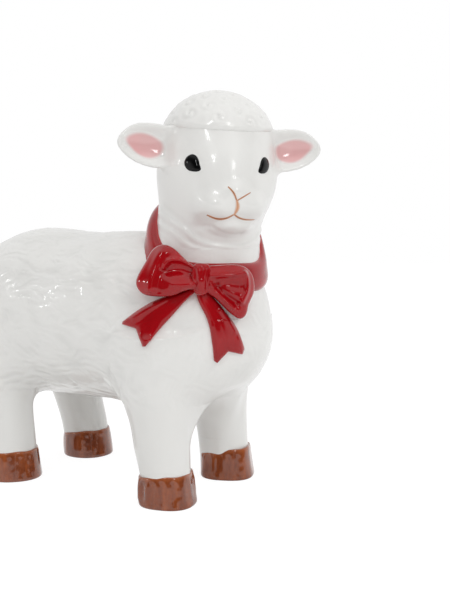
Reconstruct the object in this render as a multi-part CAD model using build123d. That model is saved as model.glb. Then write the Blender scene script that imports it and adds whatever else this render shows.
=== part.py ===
from build123d import *
import os
from math import copysign, cos, radians, sin

# A glazed standing lamb ornament, in millimetres.
# +Z is up, the lamb faces -Y and its own left is +X. Places below are measured from the point
# on the ground in the middle of the four hooves, and the finished pieces are then moved so that
# the origin is at the middle of the underside of the whole ornament's box.
# The torso, neck, head and legs are slip cast hollow and open into each other. The hooves, wool
# cap, ears, tail, ribbon and bow are worked on before firing. Each of these is its own solid.

# Casting
WALL = 4.5
VENT_DIAMETER = 8.0
OVERRUN = 6.0                   # how far a cutting tool runs past what it cuts

# Stance: middles of the hooves
STANCE_WIDTH = 69.5
STANCE_LENGTH = 114.0
HIND_STEP = 4.0                 # how far the right hind hoof stands behind the left one

# Torso: a barrel along Y, round in section, blunter than an ellipse at both ends, most at the rump
TORSO_GIRTH = 107.5
TORSO_AXIS_HEIGHT = 104.0
TORSO_AHEAD = 40.25             # how far it reaches past the middles of the front hooves
TORSO_BEHIND = 64.25            # and past those of the rear ones
TORSO_LENGTH = STANCE_LENGTH + TORSO_AHEAD + TORSO_BEHIND
TORSO_SET_BACK = (TORSO_BEHIND - TORSO_AHEAD) / 2
CHEST_BLUNTNESS = 2.5           # exponent of the barrel's outline ahead, 2 would be an ellipse
RUMP_BLUNTNESS = 3.8            # and behind
BARREL_STEPS = 16

# Hooves
HOOF_HEIGHT = 18.0
HOOF_WIDTH = 34.2
HOOF_LENGTH = 34.8
HOOF_TOE = 1.6                  # how far the sole's middle lies ahead of the ankle
HOOF_EDGE = 1.4
# height, width and length of the hoof's sections, and how much of the toe each takes
HOOF_SECTION_SHARES = [
    (0.0, 1.0, 1.0, 1.0),
    (0.45, 0.975, 0.975, 0.7),
    (1.0, 0.905, 0.91, 0.0),
]

# Legs: each stands on its hoof and swells into the torso
LEG_WIDTH = 30.6
LEG_DEPTH = 31.4
SHOULDER_RISE = 6.0             # the top of the legs above the torso's axis
SHOULDER_HEIGHT = TORSO_AXIS_HEIGHT + SHOULDER_RISE
LEG_BORE = 20.0
# height, width, depth, how far in and how far back each section lies, in leg widths and depths
FORE_LEG_SHARES = [
    (0.0, 1.0, 1.0, 0.0, 0.0),
    (0.13, 1.01, 1.01, 0.0, 0.01),
    (0.26, 1.06, 1.08, 0.0, 0.03),
    (0.37, 1.15, 1.18, 0.01, 0.07),
    (0.48, 1.28, 1.35, 0.03, 0.12),
    (0.63, 1.42, 1.65, 0.12, 0.21),
    (0.8, 1.3, 1.75, 0.24, 0.26),
    (1.0, 0.8, 1.1, 0.4, 0.3),
]
REAR_LEG_SHARES = [
    (0.0, 1.0, 1.0, 0.0, 0.0),
    (0.13, 1.01, 1.01, 0.0, 0.05),
    (0.26, 1.05, 1.05, 0.0, 0.13),
    (0.37, 1.11, 1.1, 0.01, 0.19),
    (0.48, 1.21, 1.22, 0.02, 0.25),
    (0.63, 1.4, 1.54, 0.1, 0.28),
    (0.8, 1.3, 1.6, 0.22, 0.22),
    (1.0, 0.8, 1.1, 0.4, 0.1),
]

# Neck: rises from a full chest to the head, leaning forward
CHEST_DROP = 44.0               # where the chest's bulge begins, below the torso's axis
CHEST_INSET = 11.0              # how far its middle lies behind the front hooves' middles
CHEST_HEIGHT = TORSO_AXIS_HEIGHT - CHEST_DROP
CHEST_REACH = STANCE_LENGTH / 2 - CHEST_INSET
CHEST_GIRTH = 97.0
NECK_GIRTH = 63.0
NECK_BORE = 48.0
NECK_ROOT_RISE = 4.0            # where the way into the head begins, above the torso's axis
NECK_ROOT_INSET = 6.0           # and behind the front hooves' middles
NECK_ROOT_HEIGHT = TORSO_AXIS_HEIGHT + NECK_ROOT_RISE
NECK_ROOT_REACH = STANCE_LENGTH / 2 - NECK_ROOT_INSET
# height, reach and shift from the chest to the head's middle, and girth from the neck's to
# the chest's
NECK_SECTION_SHARES = [
    (0.0, 0.16, 0.0, -0.95),
    (0.05, 0.1, 0.0, -0.3),
    (0.15, 0.08, 0.0, 0.62),
    (0.27, 0.12, 0.0, 1.0),
    (0.38, 0.18, 0.0, 0.92),
    (0.5, 0.38, 0.33, 0.52),
    (0.61, 0.56, 0.67, 0.17),
    (0.74, 0.78, 0.87, 0.04),
    (0.87, 0.92, 1.0, 0.0),
]

# Head: turned to the lamb's right
HEAD_RISE = 92.0                # the head's middle above the torso's axis
HEAD_AHEAD = 14.0               # and ahead of the front hooves' middles
HEAD_SIDE = 3.0                 # and to the lamb's right
HEAD_HEIGHT = TORSO_AXIS_HEIGHT + HEAD_RISE
HEAD_REACH = STANCE_LENGTH / 2 + HEAD_AHEAD
HEAD_TURN = 44.0                # degrees
HEAD_WIDTH = 74.0
HEAD_LENGTH = 77.0              # back of the skull to the tip of the nose
HEAD_TALL = 76.0                # chin to the skull under the cap
HEAD_NOSE = 42.0                # tip of the nose ahead of the head's middle
HEAD_CHIN = 43.0                # chin below the head's middle
# height up from the chin, width, and front and back measured from the nose's tip
HEAD_SECTION_SHARES = [
    (0.03, 0.36, 0.165, 0.65),
    (0.085, 0.54, 0.085, 0.77),
    (0.15, 0.71, 0.025, 0.86),
    (0.23, 0.86, 0.0, 0.925),
    (0.31, 0.95, 0.015, 0.97),
    (0.46, 1.0, 0.06, 1.0),
    (0.57, 0.98, 0.09, 1.0),
    (0.68, 0.92, 0.135, 0.985),
    (0.81, 0.8, 0.21, 0.93),
    (0.93, 0.51, 0.36, 0.81),
]
SKULL_BORE_SHARES = (0.838, 0.753, 0.763)   # of the head's width, length and tallness

# Wool cap: a thick dome of fleece on the crown
CAP_WIDTH_LESS = 6.0            # how much narrower than the head it is
CAP_LENGTH_LESS = 10.0          # and shorter
CAP_TALL = 61.0
CAP_SET = (1.2, 1.2, 10.0)
CAP_RIM = 13.5                  # height of the cap's rim above the head's middle

# Ears: leaf shaped, held out level, with a cupped pink inside
EAR_STAND = 23.5                # tip of the ear from the head's widest side
EAR_SUNK = 11.0                 # how far its root lies inside that side
EAR_HEIGHT = 26.0
EAR_THICKNESS = 9.6
EAR_RISE = 5.5                  # the ear's long axis above the head's middle
EAR_FORWARD = 9.0
EAR_DROOP = 3.0                 # degrees that the root hangs lower than the tip
EAR_SWEEP = 8.0                 # degrees that the tip leans forward
# distance out along the ear, height and thickness of its sections
EAR_SECTION_SHARES = [
    (0.0, 0.86, 1.0),
    (0.3, 1.0, 0.94),
    (0.55, 0.97, 0.86),
    (0.78, 0.72, 0.7),
    (0.92, 0.4, 0.5),
]
EAR_CUP_SIZE = (29.0, 9.0, 18.5)
EAR_CUP_INSET = 19.0            # middle of the cup from the ear's tip
EAR_CUP_STAND = 1.0             # how far the cup's middle stands ahead of the ear's face
LINING = 1.2                    # thickness of the pink lining

# Eyes
EYE_WIDTH = 8.6
EYE_HEIGHT = 10.0
EYE_THICKNESS = 5.0
EYE_SHARES = (0.273, 0.15, 0.505)   # place in head widths, lengths back from the nose, up
EYE_TURN = 37.0                 # degrees that each eye looks out to its side

# Nose and mouth: raised painted lines, drawn in the face's own plane
LINE_WIDTH = 1.5
LINE_RELIEF = 0.7
NOSE_WIDTH = 13.2
NOSE_TOP = -19.4                # heights from the head's middle
NOSE_TIP = -25.2
MOUTH_MIDDLE = -32.6
MOUTH_WIDTH = 27.2
MOUTH_DIP = 2.4
MOUTH_END_RISE = 0.8
MOUTH_PHILTRUM = 0.8            # how far the line below the nose bows to one side

# Tail: short, hanging against the rump
TAIL_LENGTH = 36.0
TAIL_WIDTH = 17.0
TAIL_THICKNESS = 15.0
TAIL_DROP = 3.0
TAIL_LEAN = 12.0                # degrees

# Ribbon round the neck, lowest where the bow sits
RIBBON_WIDTH = 16.0
RIBBON_THICKNESS = 3.6
RIBBON_DROP = 51.5              # its middle below the head's middle
RIBBON_HEIGHT = HEAD_HEIGHT - RIBBON_DROP
RIBBON_TILT = 30.0              # degrees
RIBBON_HEADING = 38.0           # degrees from straight ahead towards the lamb's right, lowest point

# Bow, drawn flat: across from the knot and up from the knot, seen from straight outside
BOW_HEADING = 55.5              # degrees from straight ahead towards the lamb's right
BOW_DROP = 16.5                 # the knot's middle below the ribbon's
BOW_OUT = 14.5                  # and how far it stands out from the slimmest part of the neck
BOW_HEIGHT = RIBBON_HEIGHT - BOW_DROP
BOW_STAND = NECK_GIRTH / 2 + BOW_OUT
KNOT_SIZE = (13.0, 16.0, 17.0)
LOOP_LENGTH = 35.0
LOOP_HEIGHT = 28.0
LOOP_ROOT = 22.0                # how far the loops' clay runs in behind the knot's middle
LOOP_PUFF = 6.0                 # and how far it stands out before it
LOOP_PINCH_SHARE = 0.35         # where the loops' face shrinks to, out from the knot
# outline of each loop round its middle, in loop lengths and heights
REAR_LOOP_SHARES = [
    (-0.05, 0.18),
    (-0.3, 0.49),
    (-0.5, 0.68),
    (-0.73, 0.62),
    (-0.86, 0.37),
    (-0.96, 0.13),
    (-1.0, -0.1),
    (-0.9, -0.26),
    (-0.63, -0.31),
    (-0.4, -0.28),
    (-0.08, -0.16),
]
FRONT_LOOP_SHARES = [
    (0.05, 0.2),
    (0.3, 0.31),
    (0.55, 0.29),
    (0.76, 0.18),
    (0.85, -0.05),
    (0.83, -0.3),
    (0.74, -0.58),
    (0.64, -0.74),
    (0.45, -0.65),
    (0.25, -0.41),
    (0.06, -0.16),
]
# how far out the loop's sections lie between root and puff, and how large each is
PUFF_SECTION_SHARES = [
    (0.0, 1.0),
    (0.7, 1.0),
    (0.9, 0.93),
    (1.0, 0.75),
]

# Ribbon ends: two flat tails with a fishtail cut
END_LENGTH = 44.0
END_THICKNESS = 3.4
# upper edge, notch and lower edge of each end, in end lengths
REAR_END_UPPER_SHARES = [(-0.02, -0.1), (-0.44, -0.19), (-0.73, -0.34), (-0.95, -0.52)]
REAR_END_NOTCH_SHARE = (-0.77, -0.58)
REAR_END_LOWER_SHARES = [(-0.68, -0.8), (-0.53, -0.62), (-0.36, -0.44), (0.02, -0.14)]
FRONT_END_UPPER_SHARES = [(-0.1, -0.1), (0.06, -0.44), (0.13, -0.8), (0.18, -1.0)]
FRONT_END_NOTCH_SHARE = (0.33, -0.86)
FRONT_END_LOWER_SHARES = [(0.55, -0.92), (0.45, -0.61), (0.31, -0.39), (0.1, -0.1)]


def largest(shape):
    """The main solid of a cut, without the crumbs that a cut can leave beside it."""
    return shape.solids().sort_by(SortBy.VOLUME)[-1]


def ellipsoid(size, place):
    """A ball stretched to size, its full width, depth and height, with its middle at place."""
    return Pos(*place) * scale(Sphere(1), by=tuple(length / 2 for length in size))


# Torso
def barrel_points(shrink):
    """Half of the barrel's outline: |along / half length|^n + (radius / half girth)^2 = 1."""
    half_length = TORSO_LENGTH / 2 - shrink
    half_girth = TORSO_GIRTH / 2 - shrink
    points = []
    for step in range(BARREL_STEPS + 1):
        angle = radians(180 * step / BARREL_STEPS - 90)
        bluntness = CHEST_BLUNTNESS if angle < 0 else RUMP_BLUNTNESS
        along = copysign(abs(sin(angle)) ** (2 / bluntness), angle)
        radius = half_girth * cos(angle) if 0 < step < BARREL_STEPS else 0
        points.append((radius, half_length * along))
    return points


def barrel_edge(points):
    """A smooth outline from tip to tip."""
    return Spline(*points)


def torso_place():
    return Pos(0, TORSO_SET_BACK, TORSO_AXIS_HEIGHT)


def torso_form(grow=0):
    """The torso's outer form as a full solid, grown all round."""
    points = barrel_points(-grow)
    outline = make_face([barrel_edge(points), Line(points[-1], points[0])])
    return torso_place() * revolve(outline, Axis.Y)


def torso_hollow():
    """The torso's wall, closed at both ends."""
    outer = barrel_points(0)
    inner = barrel_points(WALL)
    front_end = Line(inner[0], outer[0])
    back_end = Line(outer[-1], inner[-1])
    wall = make_face([barrel_edge(outer), back_end, barrel_edge(inner), front_end])
    return torso_place() * revolve(wall, Axis.Y)


# Legs and hooves
def hoof_middle(side, end):
    """Where a hoof stands; the right hind one is a step back."""
    step = HIND_STEP if side < 0 < end else 0
    return side * STANCE_WIDTH / 2, end * STANCE_LENGTH / 2 + step


def leg_form(side, end):
    """A leg as a full solid from its hoof into the torso; side and end are 1 or -1."""
    sections = []
    rise = SHOULDER_HEIGHT - HOOF_HEIGHT
    hoof_x, hoof_y = hoof_middle(side, end)
    for height, width, depth, inward, back in FORE_LEG_SHARES if end < 0 else REAR_LEG_SHARES:
        x = hoof_x - side * inward * LEG_WIDTH
        y = hoof_y + back * LEG_DEPTH
        place = Pos(x, y, HOOF_HEIGHT + height * rise)
        sections.append(place * Ellipse(width * LEG_WIDTH / 2, depth * LEG_DEPTH / 2))
    return loft(sections)


def leg_bore(side, end):
    """The hollow down the middle of a leg, closed above the hoof."""
    floor = HOOF_HEIGHT + WALL
    length = TORSO_AXIS_HEIGHT - floor
    place = Pos(*hoof_middle(side, end), floor + length / 2)
    return place * Cylinder(LEG_BORE / 2, length)


def hoof(side, end):
    """A hoof that flares down to a flat sole."""
    sections = []
    x, y = hoof_middle(side, end)
    for height, width, length, toe in HOOF_SECTION_SHARES:
        place = Pos(x, y - toe * HOOF_TOE, height * HOOF_HEIGHT)
        sections.append(place * Ellipse(width * HOOF_WIDTH / 2, length * HOOF_LENGTH / 2))
    block = loft(sections)
    return fillet(block.edges().group_by(Axis.Z)[0], HOOF_EDGE)


# Neck and head
def head_middle():
    return Vector(-HEAD_SIDE, -HEAD_REACH, HEAD_HEIGHT)


def neck_root():
    return Vector(0, -NECK_ROOT_REACH, NECK_ROOT_HEIGHT)


def neck_form(grow=0):
    """Chest and neck as one full solid from inside the torso into the head, grown all round."""
    sections = []
    for height, reach, shift, fullness in NECK_SECTION_SHARES:
        girth = NECK_GIRTH + fullness * (CHEST_GIRTH - NECK_GIRTH)
        x = -shift * HEAD_SIDE
        y = -(CHEST_REACH + reach * (HEAD_REACH - CHEST_REACH))
        z = CHEST_HEIGHT + height * (HEAD_HEIGHT - CHEST_HEIGHT)
        sections.append(Pos(x, y, z) * Circle(girth / 2 + grow))
    return loft(sections)


def neck_bore():
    """The round way from the torso's hollow up into the head's."""
    way = head_middle() - neck_root()
    middle = Plane(origin=neck_root() + way / 2, z_dir=way)
    return middle * Cylinder(NECK_BORE / 2, way.length)


def neck_middle(height):
    """The neck's middle line at a height."""
    share = (height - NECK_ROOT_HEIGHT) / (HEAD_HEIGHT - NECK_ROOT_HEIGHT)
    return neck_root() + (head_middle() - neck_root()) * share


def head_place():
    return Location(head_middle()) * Rot(0, 0, -HEAD_TURN)


def head_form(grow=0):
    """Skull, cheeks and muzzle as one full solid, looking along -Y, grown all round."""
    sections = []
    for height, width, front, back in HEAD_SECTION_SHARES:
        depth = (back - front) * HEAD_LENGTH / 2
        middle = (front + back) * HEAD_LENGTH / 2 - HEAD_NOSE
        place = Pos(0, middle, height * HEAD_TALL - HEAD_CHIN)
        sections.append(place * Ellipse(width * HEAD_WIDTH / 2 + grow, depth + grow))
    return loft(sections)


def head_hollow():
    """The hollow inside the skull and cheeks."""
    whole = (HEAD_WIDTH, HEAD_LENGTH, HEAD_TALL)
    size = [share * length for share, length in zip(SKULL_BORE_SHARES, whole)]
    return ellipsoid(size, (0, 0, 0))


def wool_cap(head):
    """The fleece on the crown: a dome cut level at its rim and seated on the skull."""
    width = HEAD_WIDTH - CAP_WIDTH_LESS
    length = HEAD_LENGTH - CAP_LENGTH_LESS
    dome = ellipsoid((width, length, CAP_TALL), CAP_SET)
    above_rim = Pos(0, 0, CAP_RIM) * Box(
        2 * width, 2 * length, CAP_TALL + OVERRUN,
        align=(Align.CENTER, Align.CENTER, Align.MIN))
    return largest((dome & above_rim) - head)


def ear_place():
    root = Pos(HEAD_WIDTH / 2 - EAR_SUNK, -EAR_FORWARD, EAR_RISE)
    return root * Rot(0, -EAR_DROOP, -EAR_SWEEP)


def ear_form():
    """The leaf of the lamb's left ear as a full solid, lofted from its root to its tip."""
    reach = EAR_SUNK + EAR_STAND
    sections = []
    for out, height, thickness in EAR_SECTION_SHARES:
        section = Plane(origin=(out * reach, 0, 0), x_dir=(0, 1, 0), z_dir=(1, 0, 0))
        sections.append(section * Ellipse(thickness * EAR_THICKNESS / 2, height * EAR_HEIGHT / 2))
    sections.append(Vertex(reach, 0, 0))
    return ear_place() * loft(sections)


def ear_cup(grow):
    """The hollow of the ear's inside."""
    size = [length + 2 * grow for length in EAR_CUP_SIZE]
    out = EAR_SUNK + EAR_STAND - EAR_CUP_INSET
    stand = EAR_THICKNESS / 2 + EAR_CUP_STAND
    return ear_place() * ellipsoid(size, (out, -stand, 0))


def ear_and_lining(cutters):
    """The left ear and its pink lining, cut by the head and the cap."""
    leaf = ear_form()
    ear = largest(leaf - [ear_cup(LINING), *cutters])
    lining = largest((leaf & ear_cup(LINING)) - [ear_cup(0), *cutters])
    return ear, lining


def eye(side, head):
    """A domed eye seated on the face."""
    out, back, up = EYE_SHARES
    middle = Pos(side * out * HEAD_WIDTH, back * HEAD_LENGTH - HEAD_NOSE, up * HEAD_TALL - HEAD_CHIN)
    place = middle * Rot(0, 0, side * EYE_TURN)
    ball = place * ellipsoid((EYE_WIDTH, EYE_THICKNESS, EYE_HEIGHT), (0, 0, 0))
    return largest(ball - head)


def face_lines(head):
    """The nose's two arms, the line below it and the smiling mouth, as one raised line."""
    nose_tip = (0, NOSE_TIP)
    mouth = (0, MOUTH_MIDDLE)
    strokes = [Spline(nose_tip, (MOUTH_PHILTRUM, (NOSE_TIP + MOUTH_MIDDLE) / 2), mouth)]
    for side in (-1, 1):
        arm_end = (side * NOSE_WIDTH / 2, NOSE_TOP)
        strokes.append(Spline(arm_end, nose_tip, tangents=[(-side, -0.5), (-side * 0.4, -1)]))
        corner = (side * MOUTH_WIDTH / 2, MOUTH_MIDDLE - MOUTH_DIP + MOUTH_END_RISE)
        dip = (side * MOUTH_WIDTH / 4, MOUTH_MIDDLE - MOUTH_DIP)
        strokes.append(Spline(mouth, dip, corner))
    drawing = Sketch() + [trace(stroke, LINE_WIDTH) for stroke in strokes]
    depth = HEAD_NOSE + OVERRUN
    prism = extrude(Plane.XZ * drawing, amount=depth)
    return (prism & head_form(LINE_RELIEF)) - head


# Tail
def tail():
    """A short tail that hangs against the rump."""
    rump = Pos(0, TORSO_SET_BACK + TORSO_LENGTH / 2, TORSO_AXIS_HEIGHT - TAIL_DROP)
    blob = ellipsoid((TAIL_WIDTH, TAIL_THICKNESS, TAIL_LENGTH), (0, 0, 0))
    return largest(rump * Rot(TAIL_LEAN, 0, 0) * blob - torso_form())


# Ribbon and bow
def ribbon_slab():
    """The space between the ribbon's two edges, a disc tilted down towards the bow."""
    tilt = radians(RIBBON_TILT)
    heading = radians(RIBBON_HEADING)
    lean = Vector(-sin(tilt) * sin(heading), -sin(tilt) * cos(heading), cos(tilt))
    middle = Plane(origin=neck_middle(RIBBON_HEIGHT), z_dir=lean)
    return middle * Cylinder(CHEST_GIRTH, RIBBON_WIDTH)


def bow_plane():
    """The plane the bow is drawn in: x across towards the chest's front, y up, z outwards."""
    heading = radians(BOW_HEADING)
    outward = Vector(-sin(heading), -cos(heading), 0)
    across = Vector(cos(heading), -sin(heading), 0)
    return Plane(origin=neck_middle(BOW_HEIGHT) + outward * BOW_STAND, x_dir=across, z_dir=outward)


def bow_knot():
    """The pinched knot in the middle of the bow."""
    return bow_plane() * ellipsoid(KNOT_SIZE, (0, 0, 0))


def bow_loop(shares):
    """A puffed loop: its outline carried outwards, smaller towards its face."""
    outline = [(across * LOOP_LENGTH, up * LOOP_HEIGHT) for across, up in shares]
    centre_x = sum(x for x, y in outline) / len(outline) * 2 * LOOP_PINCH_SHARE
    centre_y = sum(y for x, y in outline) / len(outline) * 2 * LOOP_PINCH_SHARE
    sections = []
    for out, size in PUFF_SECTION_SHARES:
        ring = [(centre_x + (x - centre_x) * size, centre_y + (y - centre_y) * size)
                for x, y in outline]
        face = make_face(Spline(*ring, periodic=True))
        sections.append(Pos(0, 0, out * (LOOP_ROOT + LOOP_PUFF) - LOOP_ROOT) * face)
    return bow_plane() * loft(sections)


def ribbon_end(upper_shares, notch_share, lower_shares, cutters):
    """A flat ribbon end with a fishtail cut, lying against the chest."""
    upper = [(x * END_LENGTH, y * END_LENGTH) for x, y in upper_shares]
    lower = [(x * END_LENGTH, y * END_LENGTH) for x, y in lower_shares]
    notch = (notch_share[0] * END_LENGTH, notch_share[1] * END_LENGTH)
    outline = make_face([
        Spline(*upper), Line(upper[-1], notch), Line(notch, lower[0]),
        Spline(*lower), Line(lower[-1], upper[0])])
    prism = extrude(bow_plane() * outline, amount=END_LENGTH, both=True)
    skin = (prism & torso_form(END_THICKNESS)) + (prism & neck_form(END_THICKNESS))
    return largest(skin - cutters)


def build():
    """All pieces of the lamb by name, around the middle of its hooves."""
    parts = {}
    torso = torso_form()
    neck = neck_form()
    head = head_form()
    placed_head = head_place() * head

    vent_place = Pos(0, TORSO_SET_BACK, TORSO_AXIS_HEIGHT - TORSO_GIRTH / 2)
    vent = vent_place * Cylinder(VENT_DIAMETER / 2, 2 * (WALL + OVERRUN))
    shell = torso_hollow() - vent - neck_bore()

    legs = []
    for end, end_name in ((-1, "front"), (1, "rear")):
        for side, side_name in ((-1, "right"), (1, "left")):
            bore = leg_bore(side, end)
            shell = shell - bore
            leg = leg_form(side, end)
            legs.append(leg)
            corner = f"{end_name}_{side_name}"
            parts[f"leg_{corner}"] = largest(leg - torso - neck - bore)
            parts[f"hoof_{corner}"] = hoof(side, end)
    parts["torso_shell"] = largest(shell)
    parts["neck_shell"] = largest(neck - torso - placed_head - neck_bore())
    parts["tail"] = tail()

    hollow = head_place() * head_hollow() + neck_bore()
    parts["head_shell"] = largest(placed_head - hollow)
    cap = wool_cap(head)
    parts["wool_cap"] = head_place() * cap
    ear, lining = ear_and_lining([head, cap])
    for side, side_name in ((1, "left"), (-1, "right")):
        for name, piece in (("ear", ear), ("ear_lining", lining)):
            sided = piece if side > 0 else mirror(piece, Plane.YZ)
            parts[f"{name}_{side_name}"] = head_place() * sided
        parts[f"eye_{side_name}"] = head_place() * eye(side, head)
    parts["nose_and_mouth"] = head_place() * face_lines(head)

    ring = (neck_form(RIBBON_THICKNESS) & ribbon_slab()) - neck - torso - placed_head
    parts["neck_ribbon"] = largest(ring)
    knot = bow_knot()
    parts["bow_knot"] = largest(knot - neck - ring)
    loops = {"bow_loop_rear": REAR_LOOP_SHARES, "bow_loop_front": FRONT_LOOP_SHARES}
    covered = [knot, ring]
    for name, shares in loops.items():
        loop = bow_loop(shares)
        parts[name] = largest(loop - [torso, neck, *covered])
        covered.append(loop)
    rear_end = (REAR_END_UPPER_SHARES, REAR_END_NOTCH_SHARE, REAR_END_LOWER_SHARES)
    front_end = (FRONT_END_UPPER_SHARES, FRONT_END_NOTCH_SHARE, FRONT_END_LOWER_SHARES)
    for name, shares in (("rear", rear_end), ("front", front_end)):
        parts[f"ribbon_end_{name}"] = ribbon_end(*shares, [torso, neck, *legs, *covered])
    return parts


def main():
    parts = build()
    box = Compound(list(parts.values())).bounding_box()
    to_origin = Pos(-box.center().X, -box.center().Y, -box.min.Z)
    os.makedirs("parts", exist_ok=True)
    for name, piece in parts.items():
        export_step(to_origin * piece, f"parts/{name}.step")
    size = box.size
    print(f"{len(parts)} pieces, {size.X:.1f} wide, {size.Y:.1f} long, {size.Z:.1f} high")
    print(f"middle of the hooves at {-box.center().X:.2f}, {-box.center().Y:.2f}")


main()
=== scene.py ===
# %% [markdown]
# # A glazed lamb ornament
# The real object is a hollow ceramic lamb, about 24 cm high. It was cast in one piece, its fleece is
# carved into the wet clay, and it is painted and covered in clear glaze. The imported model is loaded
# first, and everything made here is placed by it and rides on it.

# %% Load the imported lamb
import math

import bmesh
import bpy
import numpy as np
from mathutils import Matrix, Vector


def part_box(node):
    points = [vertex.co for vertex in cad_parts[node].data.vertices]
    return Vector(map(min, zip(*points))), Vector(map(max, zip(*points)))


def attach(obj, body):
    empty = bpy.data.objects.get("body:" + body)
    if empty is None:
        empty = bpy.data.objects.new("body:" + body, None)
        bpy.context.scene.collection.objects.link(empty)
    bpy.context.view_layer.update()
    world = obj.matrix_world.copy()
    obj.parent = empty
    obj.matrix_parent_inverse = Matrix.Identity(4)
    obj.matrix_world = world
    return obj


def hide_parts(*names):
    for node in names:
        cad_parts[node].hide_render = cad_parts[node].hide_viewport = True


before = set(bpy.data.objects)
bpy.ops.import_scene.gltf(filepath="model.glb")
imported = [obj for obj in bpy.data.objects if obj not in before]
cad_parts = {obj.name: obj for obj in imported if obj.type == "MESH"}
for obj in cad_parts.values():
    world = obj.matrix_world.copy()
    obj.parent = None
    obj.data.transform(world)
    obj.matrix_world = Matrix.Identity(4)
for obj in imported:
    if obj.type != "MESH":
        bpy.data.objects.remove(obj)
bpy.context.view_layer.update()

# %% [markdown]
# A maker measures a small figure in millimetres, from the spot on the ground between its hooves. The
# torso node says where that spot is: the torso's middle lies 12 mm behind it. One function turns
# those measures into the frame's metres, and every piece goes through it.

# %% Measure from the ground between the hooves
MM = 0.001
torso_low, torso_high = (np.array(corner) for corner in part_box("torso_shell"))
GROUND = (torso_low + torso_high) / 2 * [1, 1, 0] - [0, 12 * MM, 0]


def to_frame(points):
    """Millimetres round the ground spot become metres in the frame: points * 0.001 + spot."""
    return np.asarray(points, float) * MM + GROUND


print("ground spot", np.round(GROUND, 5))

# %% [markdown]
# ## Glazes
# All colours lie under one clear glaze, which runs a little before it sets, so its surface is never
# quite even. That unevenness and the brushed colour under it are used by every finish, so each is a node
# group.
# A group only puts out masks and heights. The shader, with its constant gloss, stays in the material.

# %% Group: the uneven surface of run glaze
def new_group(name, inputs, outputs):
    """A shader node group with named float or colour sockets."""
    group = bpy.data.node_groups.new(name, "ShaderNodeTree")
    for label, kind, value in inputs:
        socket = group.interface.new_socket(label, in_out="INPUT", socket_type=kind)
        socket.default_value = value
    for label, kind in outputs:
        group.interface.new_socket(label, in_out="OUTPUT", socket_type=kind)
    return group, group.nodes.new("NodeGroupInput"), group.nodes.new("NodeGroupOutput")


def noise(tree, scale, detail=2.0, roughness=0.5, distortion=0.0):
    """A noise texture on Object coordinates; returns its socket of values from 0 to 1."""
    where = tree.nodes.new("ShaderNodeTexCoord")
    texture = tree.nodes.new("ShaderNodeTexNoise")
    texture.inputs["Scale"].default_value = scale
    texture.inputs["Detail"].default_value = detail
    texture.inputs["Roughness"].default_value = roughness
    texture.inputs["Distortion"].default_value = distortion
    tree.links.new(where.outputs["Object"], texture.inputs["Vector"])
    return texture.outputs["Fac"]


def math_node(tree, operation, a, b, clamp=False):
    """a (operation) b, where each is a socket or a number."""
    node = tree.nodes.new("ShaderNodeMath")
    node.operation = operation
    node.use_clamp = clamp
    for socket, value in zip(node.inputs, (a, b)):
        if isinstance(value, (int, float)):
            socket.default_value = value
        else:
            tree.links.new(value, socket)
    return node.outputs[0]


glaze_waves, waves_in, waves_out = new_group(
    "glaze_waves", [("Broad", "NodeSocketFloat", 0.6), ("Fine", "NodeSocketFloat", 0.1)],
    [("Height", "NodeSocketFloat")])
broad = math_node(glaze_waves, "MULTIPLY", noise(glaze_waves, 55, 1.5), waves_in.outputs["Broad"])
fine = math_node(glaze_waves, "MULTIPLY", noise(glaze_waves, 420, 1.0), waves_in.outputs["Fine"])
total = math_node(glaze_waves, "ADD", broad, fine)
glaze_waves.links.new(total, waves_out.inputs["Height"])
print("group", glaze_waves.name, "made")

# %% [markdown]
# Colour under glaze is brushed on, so it is never one flat tone. The second group gives a soft cloudy
# mask with a few finer specks, from 0 to 1, that each finish uses to move between its two tones.

# %% Group: cloudy brushed colour
brushed, brushed_in, brushed_out = new_group(
    "brushed_tone", [("Cloud scale", "NodeSocketFloat", 30.0), ("Contrast", "NodeSocketFloat", 1.6)],
    [("Mask", "NodeSocketFloat")])
cloud = brushed.nodes.new("ShaderNodeTexNoise")
cloud.inputs["Detail"].default_value = 4.0
cloud_place = brushed.nodes.new("ShaderNodeTexCoord")
brushed.links.new(cloud_place.outputs["Object"], cloud.inputs["Vector"])
brushed.links.new(brushed_in.outputs["Cloud scale"], cloud.inputs["Scale"])
centred = math_node(brushed, "SUBTRACT", cloud.outputs["Fac"], 0.5)
spread = math_node(brushed, "MULTIPLY", centred, brushed_in.outputs["Contrast"])
mask = math_node(brushed, "ADD", spread, 0.5, clamp=True)
brushed.links.new(mask, brushed_out.inputs["Mask"])
print("group", brushed.name, "made")

# %% [markdown]
# Every finish here is the same shader with other tones: a body colour under a glossy clear coat. A
# piece carries painted values of its own as mesh attributes, such as how deep a point lies in a
# carved groove. The helper mixes tone pairs by such a mask and keeps the shader's constants on its
# own sockets.

# %% Shared steps of every glaze
def use_group(tree, group, **values):
    """The group placed in a material with its own values."""
    node = tree.nodes.new("ShaderNodeGroup")
    node.node_tree = group
    for label, value in values.items():
        node.inputs[label.replace("_", " ")].default_value = value
    return node.outputs[0]


def painted(tree, name):
    """The value a piece carries at each point under this name."""
    node = tree.nodes.new("ShaderNodeAttribute")
    node.attribute_name = name
    return node.outputs["Fac"]


def mix_tones(tree, mask_socket, first, second):
    """first * (1 - mask) + second * mask; a tone is a colour or a socket."""
    node = tree.nodes.new("ShaderNodeMix")
    node.data_type = "RGBA"
    tree.links.new(mask_socket, node.inputs["Factor"])
    for socket, tone in ((node.inputs["A"], first), (node.inputs["B"], second)):
        if isinstance(tone, tuple):
            socket.default_value = (*tone, 1.0)
        else:
            tree.links.new(tone, socket)
    return node.outputs["Result"]


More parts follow.
